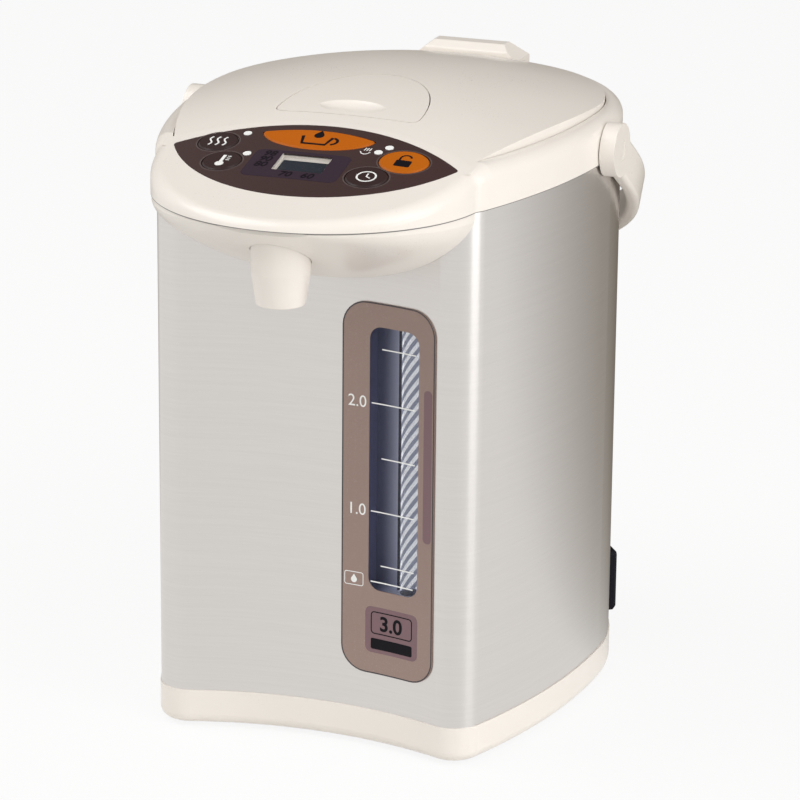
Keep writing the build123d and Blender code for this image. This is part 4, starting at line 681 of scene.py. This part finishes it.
def adopt(mesh: Mesh, name: str, finish: Finish, body: str, wall: float) -> None:
    """Make a mesh a piece of the pot.

    Args:
        mesh: the mesh, a sheet in the pot's frame.
        name: the piece's name.
        finish: its finish.
        body: the CAD body it rides on.
        wall: thickness to give to the sheet, behind its face.
    """
    mesh.materials.clear()
    mesh.materials.append(finish.make())
    piece = bpy.data.objects.new(name, mesh)
    bpy.context.scene.collection.objects.link(piece)
    solid = piece.modifiers.new("wall", "SOLIDIFY")
    solid.thickness = wall
    solid.offset = -1.0
    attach(piece, body)
    LOG.info("piece %s rides on %s", piece.name, body)


@dataclass
class Print:
    """Thin printed or inlaid shapes, drawn flat in mm, laid on a face and joined into a piece."""

    name: str
    face: PanelFace | FrontFace
    lift: float  # height of its upper side above the face
    finish: Finish
    slot: str  # the record's material slot, which is not used
    body: str = "pot"  # the CAD body it rides on
    depth: float = 0.12 * MM  # its thickness
    centre: Point = (0.0, 0.0)  # where the drawing's own origin lies on the face
    bend: float = 3.0  # widest strip that is laid flat on a curved face
    mesh: bmesh.types.BMesh = field(default_factory=bmesh.new)

    def spots(self, points: list[Point]) -> list[bmesh.types.BMVert]:
        """Add a corner at each point."""
        left, low = self.centre
        return [self.mesh.verts.new((left + x, low + y, 0)) for x, y in points]

    def area(self, points: list[Point]) -> None:
        """Fill an outline given in order against the clock."""
        self.mesh.faces.new(self.spots(points))

    def ribbon(self, points: list[Point], width: float, closed: bool = False) -> None:
        """Draw a line of even width.

        Args:
            points: its middle line.
            width: its width.
            closed: whether the end joins the start.
        """
        count = len(points)
        rows = []
        for index in range(count):
            before = points[(index - 1) % count if closed else max(index - 1, 0)]
            after = points[(index + 1) % count if closed else min(index + 1, count - 1)]
            direction = Vector((after[0] - before[0], after[1] - before[1])).normalized()
            side = Vector((-direction.y, direction.x)) * width / 2
            x, y = points[index]
            rows.append(self.spots([(x + side.x, y + side.y), (x - side.x, y - side.y)]))
        for index in range(count if closed else count - 1):
            left, right = rows[index], rows[(index + 1) % count]
            self.mesh.faces.new((left[0], left[1], right[1], right[0]))

    def border(self, outer: list[Point], inner: list[Point]) -> None:
        """Fill the space between two outlines.

        Args:
            outer: the outer outline, against the clock.
            inner: the inner outline, of as many points.
        """
        rims = list(zip(self.spots(outer), self.spots(inner)))
        for (left, low), (right, high) in zip(rims, rims[1:] + rims[:1]):
            self.mesh.faces.new((left, right, high, low))

    def figures(self, text: str, x: float, y: float, height: float, lean: float = 0.0,
                weight: float = 0.0) -> None:
        """Set plain figures.

        Args:
            text: the figures.
            x: their left edge.
            y: their base line.
            height: their height.
            lean: slant to the right for each mm of height.
            weight: how much the strokes are thickened, as a part of the type size.
        """
        curve = bpy.data.curves.new(f"{self.name}_figures", "FONT")
        curve.body = text
        curve.offset = weight
        shape = bpy.data.objects.new(curve.name, curve)
        mesh = bpy.data.meshes.new_from_object(shape)
        scale = height / max(vertex.co.y for vertex in mesh.vertices)
        corners = self.spots([(x + (v.co.x + lean * v.co.y) * scale, y + v.co.y * scale)
                              for v in mesh.vertices])
        for polygon in mesh.polygons:
            self.mesh.faces.new([corners[index] for index in polygon.vertices])
        bpy.data.objects.remove(shape)
        bpy.data.meshes.remove(mesh)

    def lay(self) -> None:
        """Cut the drawing into narrow strips, lay it on its face and make it a piece."""
        reach = [vertex.co.x for vertex in self.mesh.verts]
        for step in range(int(min(reach) / self.bend), int(max(reach) / self.bend) + 1):
            whole = [*self.mesh.verts, *self.mesh.edges, *self.mesh.faces]
            bmesh.ops.bisect_plane(self.mesh, geom=whole, plane_co=(step * self.bend, 0, 0),
                                   plane_no=(1, 0, 0))
        self.mesh.normal_update()
        flipped = [face for face in self.mesh.faces if face.normal.z < 0]
        bmesh.ops.reverse_faces(self.mesh, faces=flipped)
        for vertex in self.mesh.verts:
            vertex.co = self.face.place(vertex.co.x * MM, vertex.co.y * MM, self.lift)
        mesh = bpy.data.meshes.new(self.name)
        self.mesh.to_mesh(mesh)
        self.mesh.free()
        adopt(mesh, self.name, self.finish, self.body, self.depth)


# ---- repeated marks
class Repeater(Bench):
    """Geometry Nodes tree under construction, with its sizes as named inputs."""

    def __init__(self, name: str, sizes: dict[str, float]) -> None:
        """Start a tree.

        Args:
            name: the tree's name.
            sizes: its named inputs and their values.
        """
        super().__init__(bpy.data.node_groups.new(name, "GeometryNodeTree"))
        self.name = name
        self.values: dict[str, float] = {}
        for label, value in sizes.items():
            socket = self.tree.interface.new_socket(label, in_out="INPUT",
                                                    socket_type="NodeSocketFloat")
            self.values[socket.identifier] = value
        self.tree.interface.new_socket("Marks", in_out="OUTPUT", socket_type="NodeSocketGeometry")
        self.entry = self.node("NodeGroupInput", {})
        self.exit = self.node("NodeGroupOutput", {})

    def size(self, label: str) -> Signal:
        """The tree's input of that name."""
        return Signal(self, self.entry.outputs[label])

    def bake(self, shape: NodeSocket, finish: Finish) -> Mesh:
        """Close the tree on a shape and run it.

        Args:
            shape: the geometry to output.
            finish: its finish.

        Returns:
            The plain mesh.
        """
        real = self.node("GeometryNodeRealizeInstances", {}, Geometry=shape)
        dressed = self.node("GeometryNodeSetMaterial", {}, Geometry=real.outputs[0],
                            Material=finish.make())
        self.feed(self.exit.inputs[0], dressed.outputs[0])
        carrier = bpy.data.objects.new(f"{self.name}_carrier", bpy.data.meshes.new(self.name))
        bpy.context.scene.collection.objects.link(carrier)
        modifier = carrier.modifiers.new("marks", "NODES")
        modifier.node_group = self.tree
        for identifier, value in self.values.items():
            modifier[identifier] = value
        graph = bpy.context.evaluated_depsgraph_get()
        mesh = bpy.data.meshes.new_from_object(carrier.evaluated_get(graph))
        carrier.modifiers.remove(modifier)
        bpy.data.objects.remove(carrier)
        return mesh


# ---- sub-assemblies
class Assembly:
    """Sub-assembly: finishes, and the names of the CAD nodes that wear each."""

    wears: ClassVar[dict[Finish, str]] = {}

    def dress(self) -> None:
        """Give its nodes their finishes."""
        for finish, nodes in self.wears.items():
            for node in nodes.split():
                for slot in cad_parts[node].material_slots:
                    slot.material = finish.make()
                LOG.info("dressed %s in %s", node, finish.name)


@dataclass
class Body(Assembly):
    """Steel jacket, skirt, shoulder casing and beak, and the feet and screws below."""

    wears = {CREAM: "base_skirt spout_nozzle", SEAM_SHADOW_CREAM: "top_casing spout_cover",
             SHELL_STEEL: "outer_shell", SOFT_BLACK: "rubber_feet", GREY: "base_plate",
             PIN_STEEL: "base_screws"}


@dataclass
class Lid(Assembly):
    """Crowned lid with its release plate, latch, hinge, inner plate and seal."""

    wears = {CREAM: "lid_cover hinge_cover release_plate",
             PIN_STEEL: "hinge_pin release_pin", GREY: "lid_base latch_bolt tip_valve",
             LINER_STEEL: "inner_lid_plate", SOFT_GREY: "lid_gasket"}


@dataclass
class Handle(Assembly):
    """Carrying handle and its pins."""

    wears = {CREAM: "carry_handle handle_pins"}


@dataclass
class Vessel(Assembly):
    """Water container, its bracket, heater and sensor."""

    wears = {LINER_STEEL: "inner_container", ZINC: "container_bracket",
             ALLOY: "heater_plate temperature_sensor"}


@dataclass
class Pump(Assembly):
    """Pump, motor, magnet, sleeve and hoses."""

    wears = {BLACK: "pump_housing", ZINC: "pump_motor", GREY: "pump_impeller drive_magnet",
             SOFT_GREY: "suction_sleeve delivery_hose pump_hose"}


@dataclass
class Inlet(Assembly):
    """Power inlet and its two pins."""

    wears = {BLACK: "power_inlet", PIN_STEEL: "inlet_pins"}


@dataclass
class Gauge(Assembly):
    """Level window: overlay plate, smoked lens, housing, sight tube and scale.

    Lifts are in metres; what is drawn is in mm, across from the pot's middle and up from the
    table."""

    wears = {TAUPE_PLATE: "window_plate", SMOKED: "window_lens", TUBE: "level_tube",
             HATCHING: "gauge_backing", HOUSING: "gauge_housing"}
    face: FrontFace = FrontFace()
    plate_lift: float = 0.6 * MM
    lens_lift: float = 0.4 * MM
    ink: float = 0.06 * MM
    first_mark: float = 89.1
    mark_pitch: float = 25.55
    mark_count: int = 5
    mark_width: float = 0.55
    mark_wall: float = 0.1
    mark_cuts: int = 13  # corners along a mark, so that it bends with the lens
    short_left: float = 31.0
    long_left: float = 25.8
    mark_right: float = 48.3
    figure_left: float = 14.0
    figure_height: float = 5.4
    figure_sink: float = 2.6  # base line of a figure below its mark
    litres: tuple[tuple[str, int], ...] = (("1.0", 1), ("2.0", 3))  # figures and their marks
    fill_height: float = 81.0
    fill_span: tuple[int, int] = (26, 49)
    fill_box: Plaque = Plaque(12.9, 77.9, 22.2, 84.1, 1.0)
    fill_drop: Point = (17.55, 80.5)
    edge_inset: float = 0.3
    edge_radius: float = 11.7
    edge_width: float = 0.6
    stripe: Plaque = Plaque(53.2, 104.8, 57.6, 176.5, 2.0)
    patch: Plaque = Plaque(23.5, 46.8, 50.8, 69.0, 3.0)
    patch_frame: Plaque = Plaque(26.6, 56.2, 47.8, 66.6, 1.6)
    patch_bar: Plaque = Plaque(26.4, 48.6, 48.0, 53.8, 0.8)
    patch_figures: tuple[float, float, float] = (30.8, 58.0, 7.0)  # left, base line, height

    def build(self) -> None:
        """Lay the scale, the outlines and the bare patches on the plate and lens."""
        self.marks()
        self.plate_edge()
        self.figures()
        stripe = self.on_plate("plate_stripe", MAUVE_INK, "brown_plastic")
        stripe.area(self.stripe.outline())
        stripe.lay()
        self.capacity_patch()

    def on_plate(self, name: str, finish: Finish, slot: str, layer: int = 1) -> Print:
        """Start a print on the plate, in a layer of ink counted from the plate up."""
        return Print(name, self.face, self.plate_lift + layer * self.ink, finish, slot)

    def plate_edge(self) -> None:
        """Dark line along the plate's edge."""
        low, high = (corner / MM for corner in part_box("window_plate"))
        inset = (self.edge_inset,) * 4
        rim = Plaque(low.x, low.z, high.x, high.z, self.edge_radius).inset(*inset)
        edge = self.on_plate("plate_outline", EDGE_INK, "dark_key")
        edge.ribbon(rim.outline(), self.edge_width, closed=True)
        edge.lay()

    def marks(self) -> None:
        """Graduations on the lens, long at whole litres and short between."""
        tree = Repeater("scale_marks", {
            "First": self.first_mark * MM, "Pitch": self.mark_pitch * MM,
            "Short left": self.short_left * MM, "Long left": self.long_left * MM,
            "Right": self.mark_right * MM, "Width": self.mark_width * MM,
            "Radius": self.face.radius - self.lens_lift - self.ink,
            "Centre": self.face.centre})
        line = tree.node("GeometryNodeMeshLine", {}, Count=self.mark_count,
                         Offset=(0.0, 0.0, 1.0))
        bar = tree.node("GeometryNodeMeshGrid", {}, Size_X=1.0, Size_Y=1.0,
                        Vertices_X=self.mark_cuts, Vertices_Y=2)
        index = Signal(tree, tree.node("GeometryNodeInputIndex", {}).outputs[0])
        odd = index.apply("MODULO", 2.0)
        left = odd * (tree.size("Long left") - tree.size("Short left")) + tree.size("Short left")
        size = tree.node("ShaderNodeCombineXYZ", {}, tree.size("Right") - left,
                         tree.size("Width"), 1.0)
        spot = tree.node("ShaderNodeCombineXYZ", {}, (tree.size("Right") + left) * 0.5,
                         index * tree.size("Pitch") + tree.size("First"), 0.0)
        moved = tree.node("GeometryNodeSetPosition", {}, Geometry=line.outputs[0],
                          Position=spot.outputs[0])
        bars = tree.node("GeometryNodeInstanceOnPoints", {}, Points=moved.outputs[0],
                         Instance=bar.outputs[0], Scale=size.outputs[0])
        flat = tree.node("GeometryNodeRealizeInstances", {}, Geometry=bars.outputs[0])
        mesh = tree.bake(self.wrap(tree, flat.outputs[0]), WHITE_INK)
        adopt(mesh, tree.name, WHITE_INK, "pot", self.mark_wall * MM)

    def wrap(self, tree: Repeater, flat: NodeSocket) -> NodeSocket:
        """Bend a flat drawing onto the hollow front.

        Args:
            tree: the tree, with inputs named Radius and Centre.
            flat: geometry with x across and y up.

        Returns:
            The bent geometry.
        """
        position = tree.node("GeometryNodeInputPosition", {}).outputs[0]
        split = tree.node("ShaderNodeSeparateXYZ", {}, position)
        turn = (Signal(tree, split.outputs[0]) / tree.size("Radius")).apply("ARCSINE")
        reach = turn.apply("COSINE") * tree.size("Radius") + tree.size("Centre")
        bent = tree.node("ShaderNodeCombineXYZ", {}, split.outputs[0], reach, split.outputs[1])
        return tree.node("GeometryNodeSetPosition", {}, Geometry=flat,
                         Position=bent.outputs[0]).outputs[0]

    def figures(self) -> None:
        """Figures beside the whole litres, and a boxed drop with its line at the fill mark."""
        ink = self.on_plate("scale_figures", WHITE_INK, "white_plastic")
        for number, index in self.litres:
            low = self.first_mark + index * self.mark_pitch - self.figure_sink
            ink.figures(number, self.figure_left, low, self.figure_height)
        ink.ribbon(self.fill_box.outline(), 0.35, closed=True)
        ink.area(drop(*self.fill_drop, radius=1.5, tip=2.6))
        ink.lay()
        fill = Print("fill_mark", self.face, self.lens_lift + self.ink, WHITE_INK,
                     "white_plastic")
        fill.ribbon([(x, self.fill_height) for x in range(*self.fill_span, 2)], 0.6)
        fill.lay()

    def capacity_patch(self) -> None:
        """Framed capacity figures over a bare dark bar."""
        patch = self.on_plate("capacity_patch", MAUVE_INK, "brown_plastic")
        patch.area(self.patch.outline())
        patch.lay()
        ink = self.on_plate("capacity_figures", BLACK_INK, "dark_key", layer=2)
        ink.ribbon(self.patch_frame.outline(), 0.5, closed=True)
        ink.figures("3.0", *self.patch_figures, weight=0.025)
        ink.area(self.patch_bar.outline())
        ink.lay()


@dataclass(frozen=True)
class Key:
    """Middle of a key, in mm in plan from the container's axis, and its ring's half sizes."""

    x: float
    y: float
    ring: Point | None = None


@dataclass
class Panel(Assembly):
    """Control panel: overlay, five keys, display, lamps and their printed signs.

    Lifts are in metres; what is drawn is in mm, in plan from the container's axis, and a sign
    is drawn round its own middle."""

    wears = {BROWN_PANEL: "control_panel", ORANGE_KEY: "dispense_key",
             BRONZE_KEY: "unlock_key", DARK_KEY: "reboil_key temperature_key timer_key",
             WINDOW: "lcd_window", SCREEN: "lcd_module", WHITE: "indicator_leds",
             SOFT_GREY: "key_mat", BOARD: "control_board power_board"}
    face: PanelFace = field(default_factory=PanelFace)
    ink: float = 0.06 * MM
    key_lift: float = 0.5 * MM
    plan: float = 33.415  # how far the container's axis lies behind the origin
    keys: dict[str, Key] = field(default_factory=lambda: {
        "dispense": Key(-3.0, -109.0), "unlock": Key(42.0, -120.5, (12.1, 10.3)),
        "reboil": Key(-47.0, -117.8, (10.0, 9.1)),
        "temperature": Key(-38.2, -134.8, (9.7, 9.1)), "timer": Key(30.8, -137.2, (10.3, 9.5))})
    ring_width: float = 0.5
    bowl: Point = (22.1, -115.7)
    display: Point = (-1.5, -131.3)
    display_patch: Plaque = Plaque(-24.5, -14.2, 20.5, 9.6, 3.5)  # round the display's middle
    opening: Plaque = Plaque(-11.75, -7.5, 11.75, 7.5, 0.3)
    well_gaps: Point = (0.01, 0.09)  # from the opening to the sleeve's two sides
    well_lift: float = -0.05 * MM
    well_depth: float = 2.2 * MM
    bezel: tuple[float, ...] = (0.9, 0.3, 0.3, 2.4)  # width at the left, front, right, rear
    bezel_lift: float = -2.0 * MM
    degrees: dict[str, Point] = field(default_factory=lambda: {
        "98": (-20.4, 4.4), "90": (-20.8, -0.6), "80": (-21.2, -5.6), "70": (-7.0, -12.4),
        "60": (3.4, -12.4)})
    degree_height: float = 4.2

    def at(self, x: float, y: float) -> Point:
        """A place in plan from the container's axis as the face's own."""
        return x, y + self.plan

    def on_panel(self, name: str, finish: Finish, slot: str, place: Point) -> Print:
        """Start a print on the panel, drawn round a place in plan."""
        return Print(name, self.face, self.ink, finish, slot, centre=self.at(*place))

    def on_key(self, name: str, finish: Finish, slot: str) -> Print:
        """Start the sign of a key, drawn round the key's middle and riding on its button."""
        return Print(f"{name}_sign", self.face, self.ink + self.key_lift, finish, slot,
                     f"{name}_button", centre=self.at(self.keys[name].x, self.keys[name].y))

    def build(self) -> None:
        """Lay the signs on the panel and its keys."""
        self.rings()
        self.warm_sign()
        self.display_frame()
        self.display_figures()
        self.dispense_sign()
        self.unlock_sign()
        self.reboil_sign()
        self.temperature_sign()
        self.timer_sign()

    def rings(self) -> None:
        """Thin pale rings round the small keys."""
        ink = self.on_panel("key_rings", RING_INK, "dark_key", (0.0, 0.0))
        for key in self.keys.values():
            if key.ring:
                ink.ribbon(oval(key.x, key.y, *key.ring), self.ring_width, closed=True)
        ink.lay()

    def warm_sign(self) -> None:
        """Small steaming bowl beside the right-hand lamps."""
        ink = self.on_panel("warm_sign", WHITE_INK, "white_plastic", self.bowl)
        ink.ribbon([(-2.4, 0.0), *bow(0.0, 0.0, 2.0, 190, 350), (2.4, 0.0)], 0.5)
        for x in (-1.0, 0.2, 1.4):
            ink.ribbon([(x, 1.0), (x + 0.5, 3.4)], 0.45)
        ink.lay()

    def display_frame(self) -> None:
        """Dark patch round the display, the sleeve of its opening, and a bezel at its foot."""
        patch = self.on_panel("display_patch", PURPLE_INK, "dark_key", self.display)
        patch.border(self.display_patch.outline(), self.opening.outline())
        patch.lay()
        centre = self.at(*self.display)
        outer, inner = (self.opening.inset(*(gap,) * 4).outline() for gap in self.well_gaps)
        well = Print("display_well", self.face, self.well_lift, CREAM, "cream_plastic",
                     depth=self.well_depth, centre=centre)
        well.border(outer, inner)
        well.lay()
        bezel = Print("display_bezel", self.face, self.bezel_lift, CREAM, "cream_plastic",
                      centre=centre)
        bezel.border(outer, self.opening.inset(*self.bezel).outline())
        bezel.lay()

    def display_figures(self) -> None:
        """Temperatures that the display points to."""
        ink = Print("display_figures", self.face, 2 * self.ink, BLACK_INK, "dark_key",
                    centre=self.at(*self.display))
        for text, (left, low) in self.degrees.items():
            ink.figures(text, left, low, self.degree_height, lean=0.15, weight=0.015)
        ink.lay()

    def dispense_sign(self) -> None:
        """Cup under a falling drop."""
        ink = self.on_key("dispense", BLACK_INK, "dark_key")
        ink.area(drop(0.0, 2.4, 2.3, 4.4))
        ink.ribbon([(-7.0, 1.2), (-5.4, -5.4), (5.4, -5.4), (7.0, 1.2)], 1.6)
        ink.ribbon(bow(7.2, -1.9, 2.9, -80, 80), 1.3)
        ink.lay()

    def unlock_sign(self) -> None:
        """Open padlock."""
        ink = self.on_key("unlock", BLACK_INK, "dark_key")
        ink.area(Plaque(-3.6, -4.6, 3.6, 0.8, 0.8).outline())
        ink.ribbon([(-2.4, 0.8), *reversed(bow(0.0, 2.8, 2.4, 10, 180))], 0.9)
        ink.lay()

    def reboil_sign(self) -> None:
        """Three curls of steam."""
        ink = self.on_key("reboil", WHITE_INK, "white_plastic")
        for x in (-3.4, 0.0, 3.4):
            ink.ribbon([(x + 0.9 * sin(step / 12 * 2 * pi), -3.8 + step * 0.62)
                        for step in range(13)], 0.8)
        ink.lay()

    def temperature_sign(self) -> None:
        """Thermometer with its bulb and three marks."""
        ink = self.on_key("temperature", WHITE_INK, "white_plastic")
        ink.area(oval(0.0, -3.0, 2.0, 2.0))
        ink.ribbon([(0.0, -2.0), (0.0, 4.6)], 1.5)
        for step in range(3):
            ink.ribbon([(x, 0.4 + 1.6 * step) for x in (1.6, 3.4)], 0.55)
        ink.lay()

    def timer_sign(self) -> None:
        """Clock face."""
        ink = self.on_key("timer", WHITE_INK, "white_plastic")
        ink.ribbon(oval(0.0, 0.0, 4.2, 4.2), 0.8, closed=True)
        ink.ribbon([(0.0, 2.6), (0.0, 0.0), (2.0, -1.2)], 0.7)
        ink.lay()


# ---- studio
def outward(azimuth: float, elevation: float) -> Vector:
    """Unit vector from the pot at a bearing from the front towards the right, in radians."""
    return Vector((sin(azimuth) * cos(elevation), -cos(azimuth) * cos(elevation),
                   sin(elevation)))


@dataclass(frozen=True)
class Lamp:
    """Soft rectangular lamp that faces the pot."""

    name: str
    azimuth: float  # degrees from the front towards the right
    elevation: float  # degrees above the floor
    distance: float
    size: Point
    power: float  # watts
    aim: float = 0.15  # height on the pot that it faces

    def hang(self) -> None:
        """Add the lamp to the scene."""
        data = bpy.data.lights.new(self.name, "AREA")
        data.shape = "RECTANGLE"
        data.size, data.size_y = self.size
        data.energy = self.power
        away = outward(radians(self.azimuth), radians(self.elevation))
        lamp = bpy.data.objects.new(self.name, data)
        lamp.location = Vector((0, 0, self.aim)) + away * self.distance
        lamp.rotation_mode = "QUATERNION"
        lamp.rotation_quaternion = (-away).to_track_quat("-Z", "Y")
        bpy.context.scene.collection.objects.link(lamp)


@dataclass
class Studio:
    """Pale floor, soft lamps, white surround and the camera."""

    target: Vector = field(default_factory=lambda: Vector((-3.042, 33.415, 130.15)) * MM)
    azimuth: float = radians(20.158)
    elevation: float = radians(17.363)
    roll: float = radians(0.538)
    distance: float = 1872.67 * MM
    lens: float = 176.04
    sensor: float = 36.0
    clip: Point = (0.05, 50.0)
    floor_size: float = 12.0
    floor_sink: float = 0.1 * MM  # how far the floor lies below the feet
    floor_colour: Colour = (0.80, 0.795, 0.78)
    floor_gleam: Colour = (0.875, 0.865, 0.845)  # the floor as glossy surfaces mirror it
    floor_white: float = 0.88  # part of plain white in the floor; the rest keeps the shadow
    horizon: float = 0.84  # brightness of the surround low down and overhead
    zenith: float = 0.71
    dome: Point = (0.05, 0.9)  # heights on a unit sphere between which it dims
    dark_side: Colour = (-0.087, 0.996, 0.0)  # bearing of the dark part behind the pot
    dark_start: float = 0.36  # cosine of its half width
    dark_level: float = 0.12
    dark_floor: Colour = (0.09, 0.06, 0.02)
    dark_tint: Colour = (1.0, 0.87, 0.72)
    lamps: tuple[Lamp, ...] = (
        Lamp("key_softbox", -65, 52, 1.7, (1.1, 1.1), 10.0),
        Lamp("fill_softbox", 62, 40, 1.9, (0.9, 1.2), 6.5),
        Lamp("strip_softbox", 76, 14, 1.6, (0.9, 1.3), 8.0))

    def camera(self) -> None:
        """Place the camera."""
        back = outward(self.azimuth, self.elevation)
        level = Vector((cos(self.azimuth), sin(self.azimuth), 0))
        upright = back.cross(level)
        right = level * cos(self.roll) + upright * sin(self.roll)
        up = upright * cos(self.roll) - level * sin(self.roll)
        data = bpy.data.cameras.new("studio_camera")
        data.lens = self.lens
        data.sensor_width = self.sensor
        data.clip_start, data.clip_end = self.clip
        camera = bpy.data.objects.new("studio_camera", data)
        camera.matrix_world = Matrix.LocRotScale(self.target + back * self.distance,
                                                 Matrix((right, up, back)).transposed(), None)
        bpy.context.scene.collection.objects.link(camera)
        bpy.context.scene.camera = camera

    def falloff(self, bench: Bench, direction: NodeSocket) -> Signal:
        """Brightness of the studio in a direction: full, but for a dark part behind the pot.

        Args:
            bench: the node tree that uses it.
            direction: vector from the pot.

        Returns:
            1 in front and at the sides, less towards the dark part.
        """
        flat = bench.node("ShaderNodeVectorMath", {"operation": "MULTIPLY"}, direction,
                          Vector((1, 1, 0)))
        unit = bench.node("ShaderNodeVectorMath", {"operation": "NORMALIZE"}, flat.outputs[0])
        along = bench.node("ShaderNodeVectorMath", {"operation": "DOT_PRODUCT"},
                           unit.outputs[0], self.dark_side)
        level = bench.node("ShaderNodeMapRange", {}, along.outputs["Value"], self.dark_start,
                           1.0, 1.0, self.dark_level)
        return Signal(bench, level.outputs[0])

    def floor(self) -> None:
        """Lay the floor: nearly white to the camera, and pale to glossy surfaces."""
        bpy.ops.mesh.primitive_plane_add(size=self.floor_size, location=(0, 0, -self.floor_sink))
        floor = bpy.context.object
        floor.name = "studio_floor"
        recipe = Recipe("studio_floor")
        seen, clear, mirrored = recipe.rays("Camera", "Transmission", "Glossy")
        level = self.falloff(recipe, recipe.coordinates())
        recipe.set(Base_Color=recipe.mix(level.larger(seen), self.dark_floor, self.floor_colour),
                   Roughness=0.9)
        gleam = recipe.node("ShaderNodeEmission", {},
                            recipe.mix(level, self.dark_floor, self.floor_gleam), 1.0)
        white = recipe.node("ShaderNodeEmission", {}, PLAIN_WHITE, 1.0)
        lit = recipe.blend(mirrored, recipe.shader, gleam)
        shown = recipe.blend(self.floor_white * seen.larger(clear), lit, white)
        recipe.feed(recipe.output.inputs[0], shown.outputs[0])
        floor.data.materials.append(recipe.material)

    def surround(self) -> None:
        """Soft surround: white to the camera; as a light, bright low down and dim overhead."""
        world = bpy.data.worlds.new("studio")
        bpy.context.scene.world = world
        bench = Bench(emptied(world))
        seen, clear = bench.rays("Camera", "Transmission")
        where = bench.node("ShaderNodeTexCoord", {}).outputs["Generated"]
        height = Signal(bench, bench.node("ShaderNodeSeparateXYZ", {}, where).outputs[2])
        dome = self.horizon - (self.horizon - self.zenith) * height.ramp(*self.dome)
        level = self.falloff(bench, where)
        light = bench.node("ShaderNodeBackground", {}, Strength=dome * level,
                           Color=bench.mix(level, self.dark_tint, PLAIN_WHITE))
        white = bench.node("ShaderNodeBackground", {}, Strength=1.0, Color=PLAIN_WHITE)
        shown = bench.blend(seen.larger(clear), light, white)
        bench.node("ShaderNodeOutputWorld", {}, shown.outputs[0])

    def build(self) -> None:
        """Make the camera, floor, surround and lamps."""
        self.camera()
        self.floor()
        self.surround()
        for lamp in self.lamps:
            lamp.hang()
        bpy.context.scene.view_settings.view_transform = "Standard"


def main() -> None:
    """Build the studio and every sub-assembly in order."""
    logging.basicConfig(level=logging.INFO, format="%(name)s: %(message)s")
    Studio().build()
    for part in (Body(), Lid(), Handle(), Vessel(), Pump(), Inlet()):
        part.dress()
    for part in (Gauge(), Panel()):
        part.dress()
        part.build()


if __name__ == "__main__":
    main()
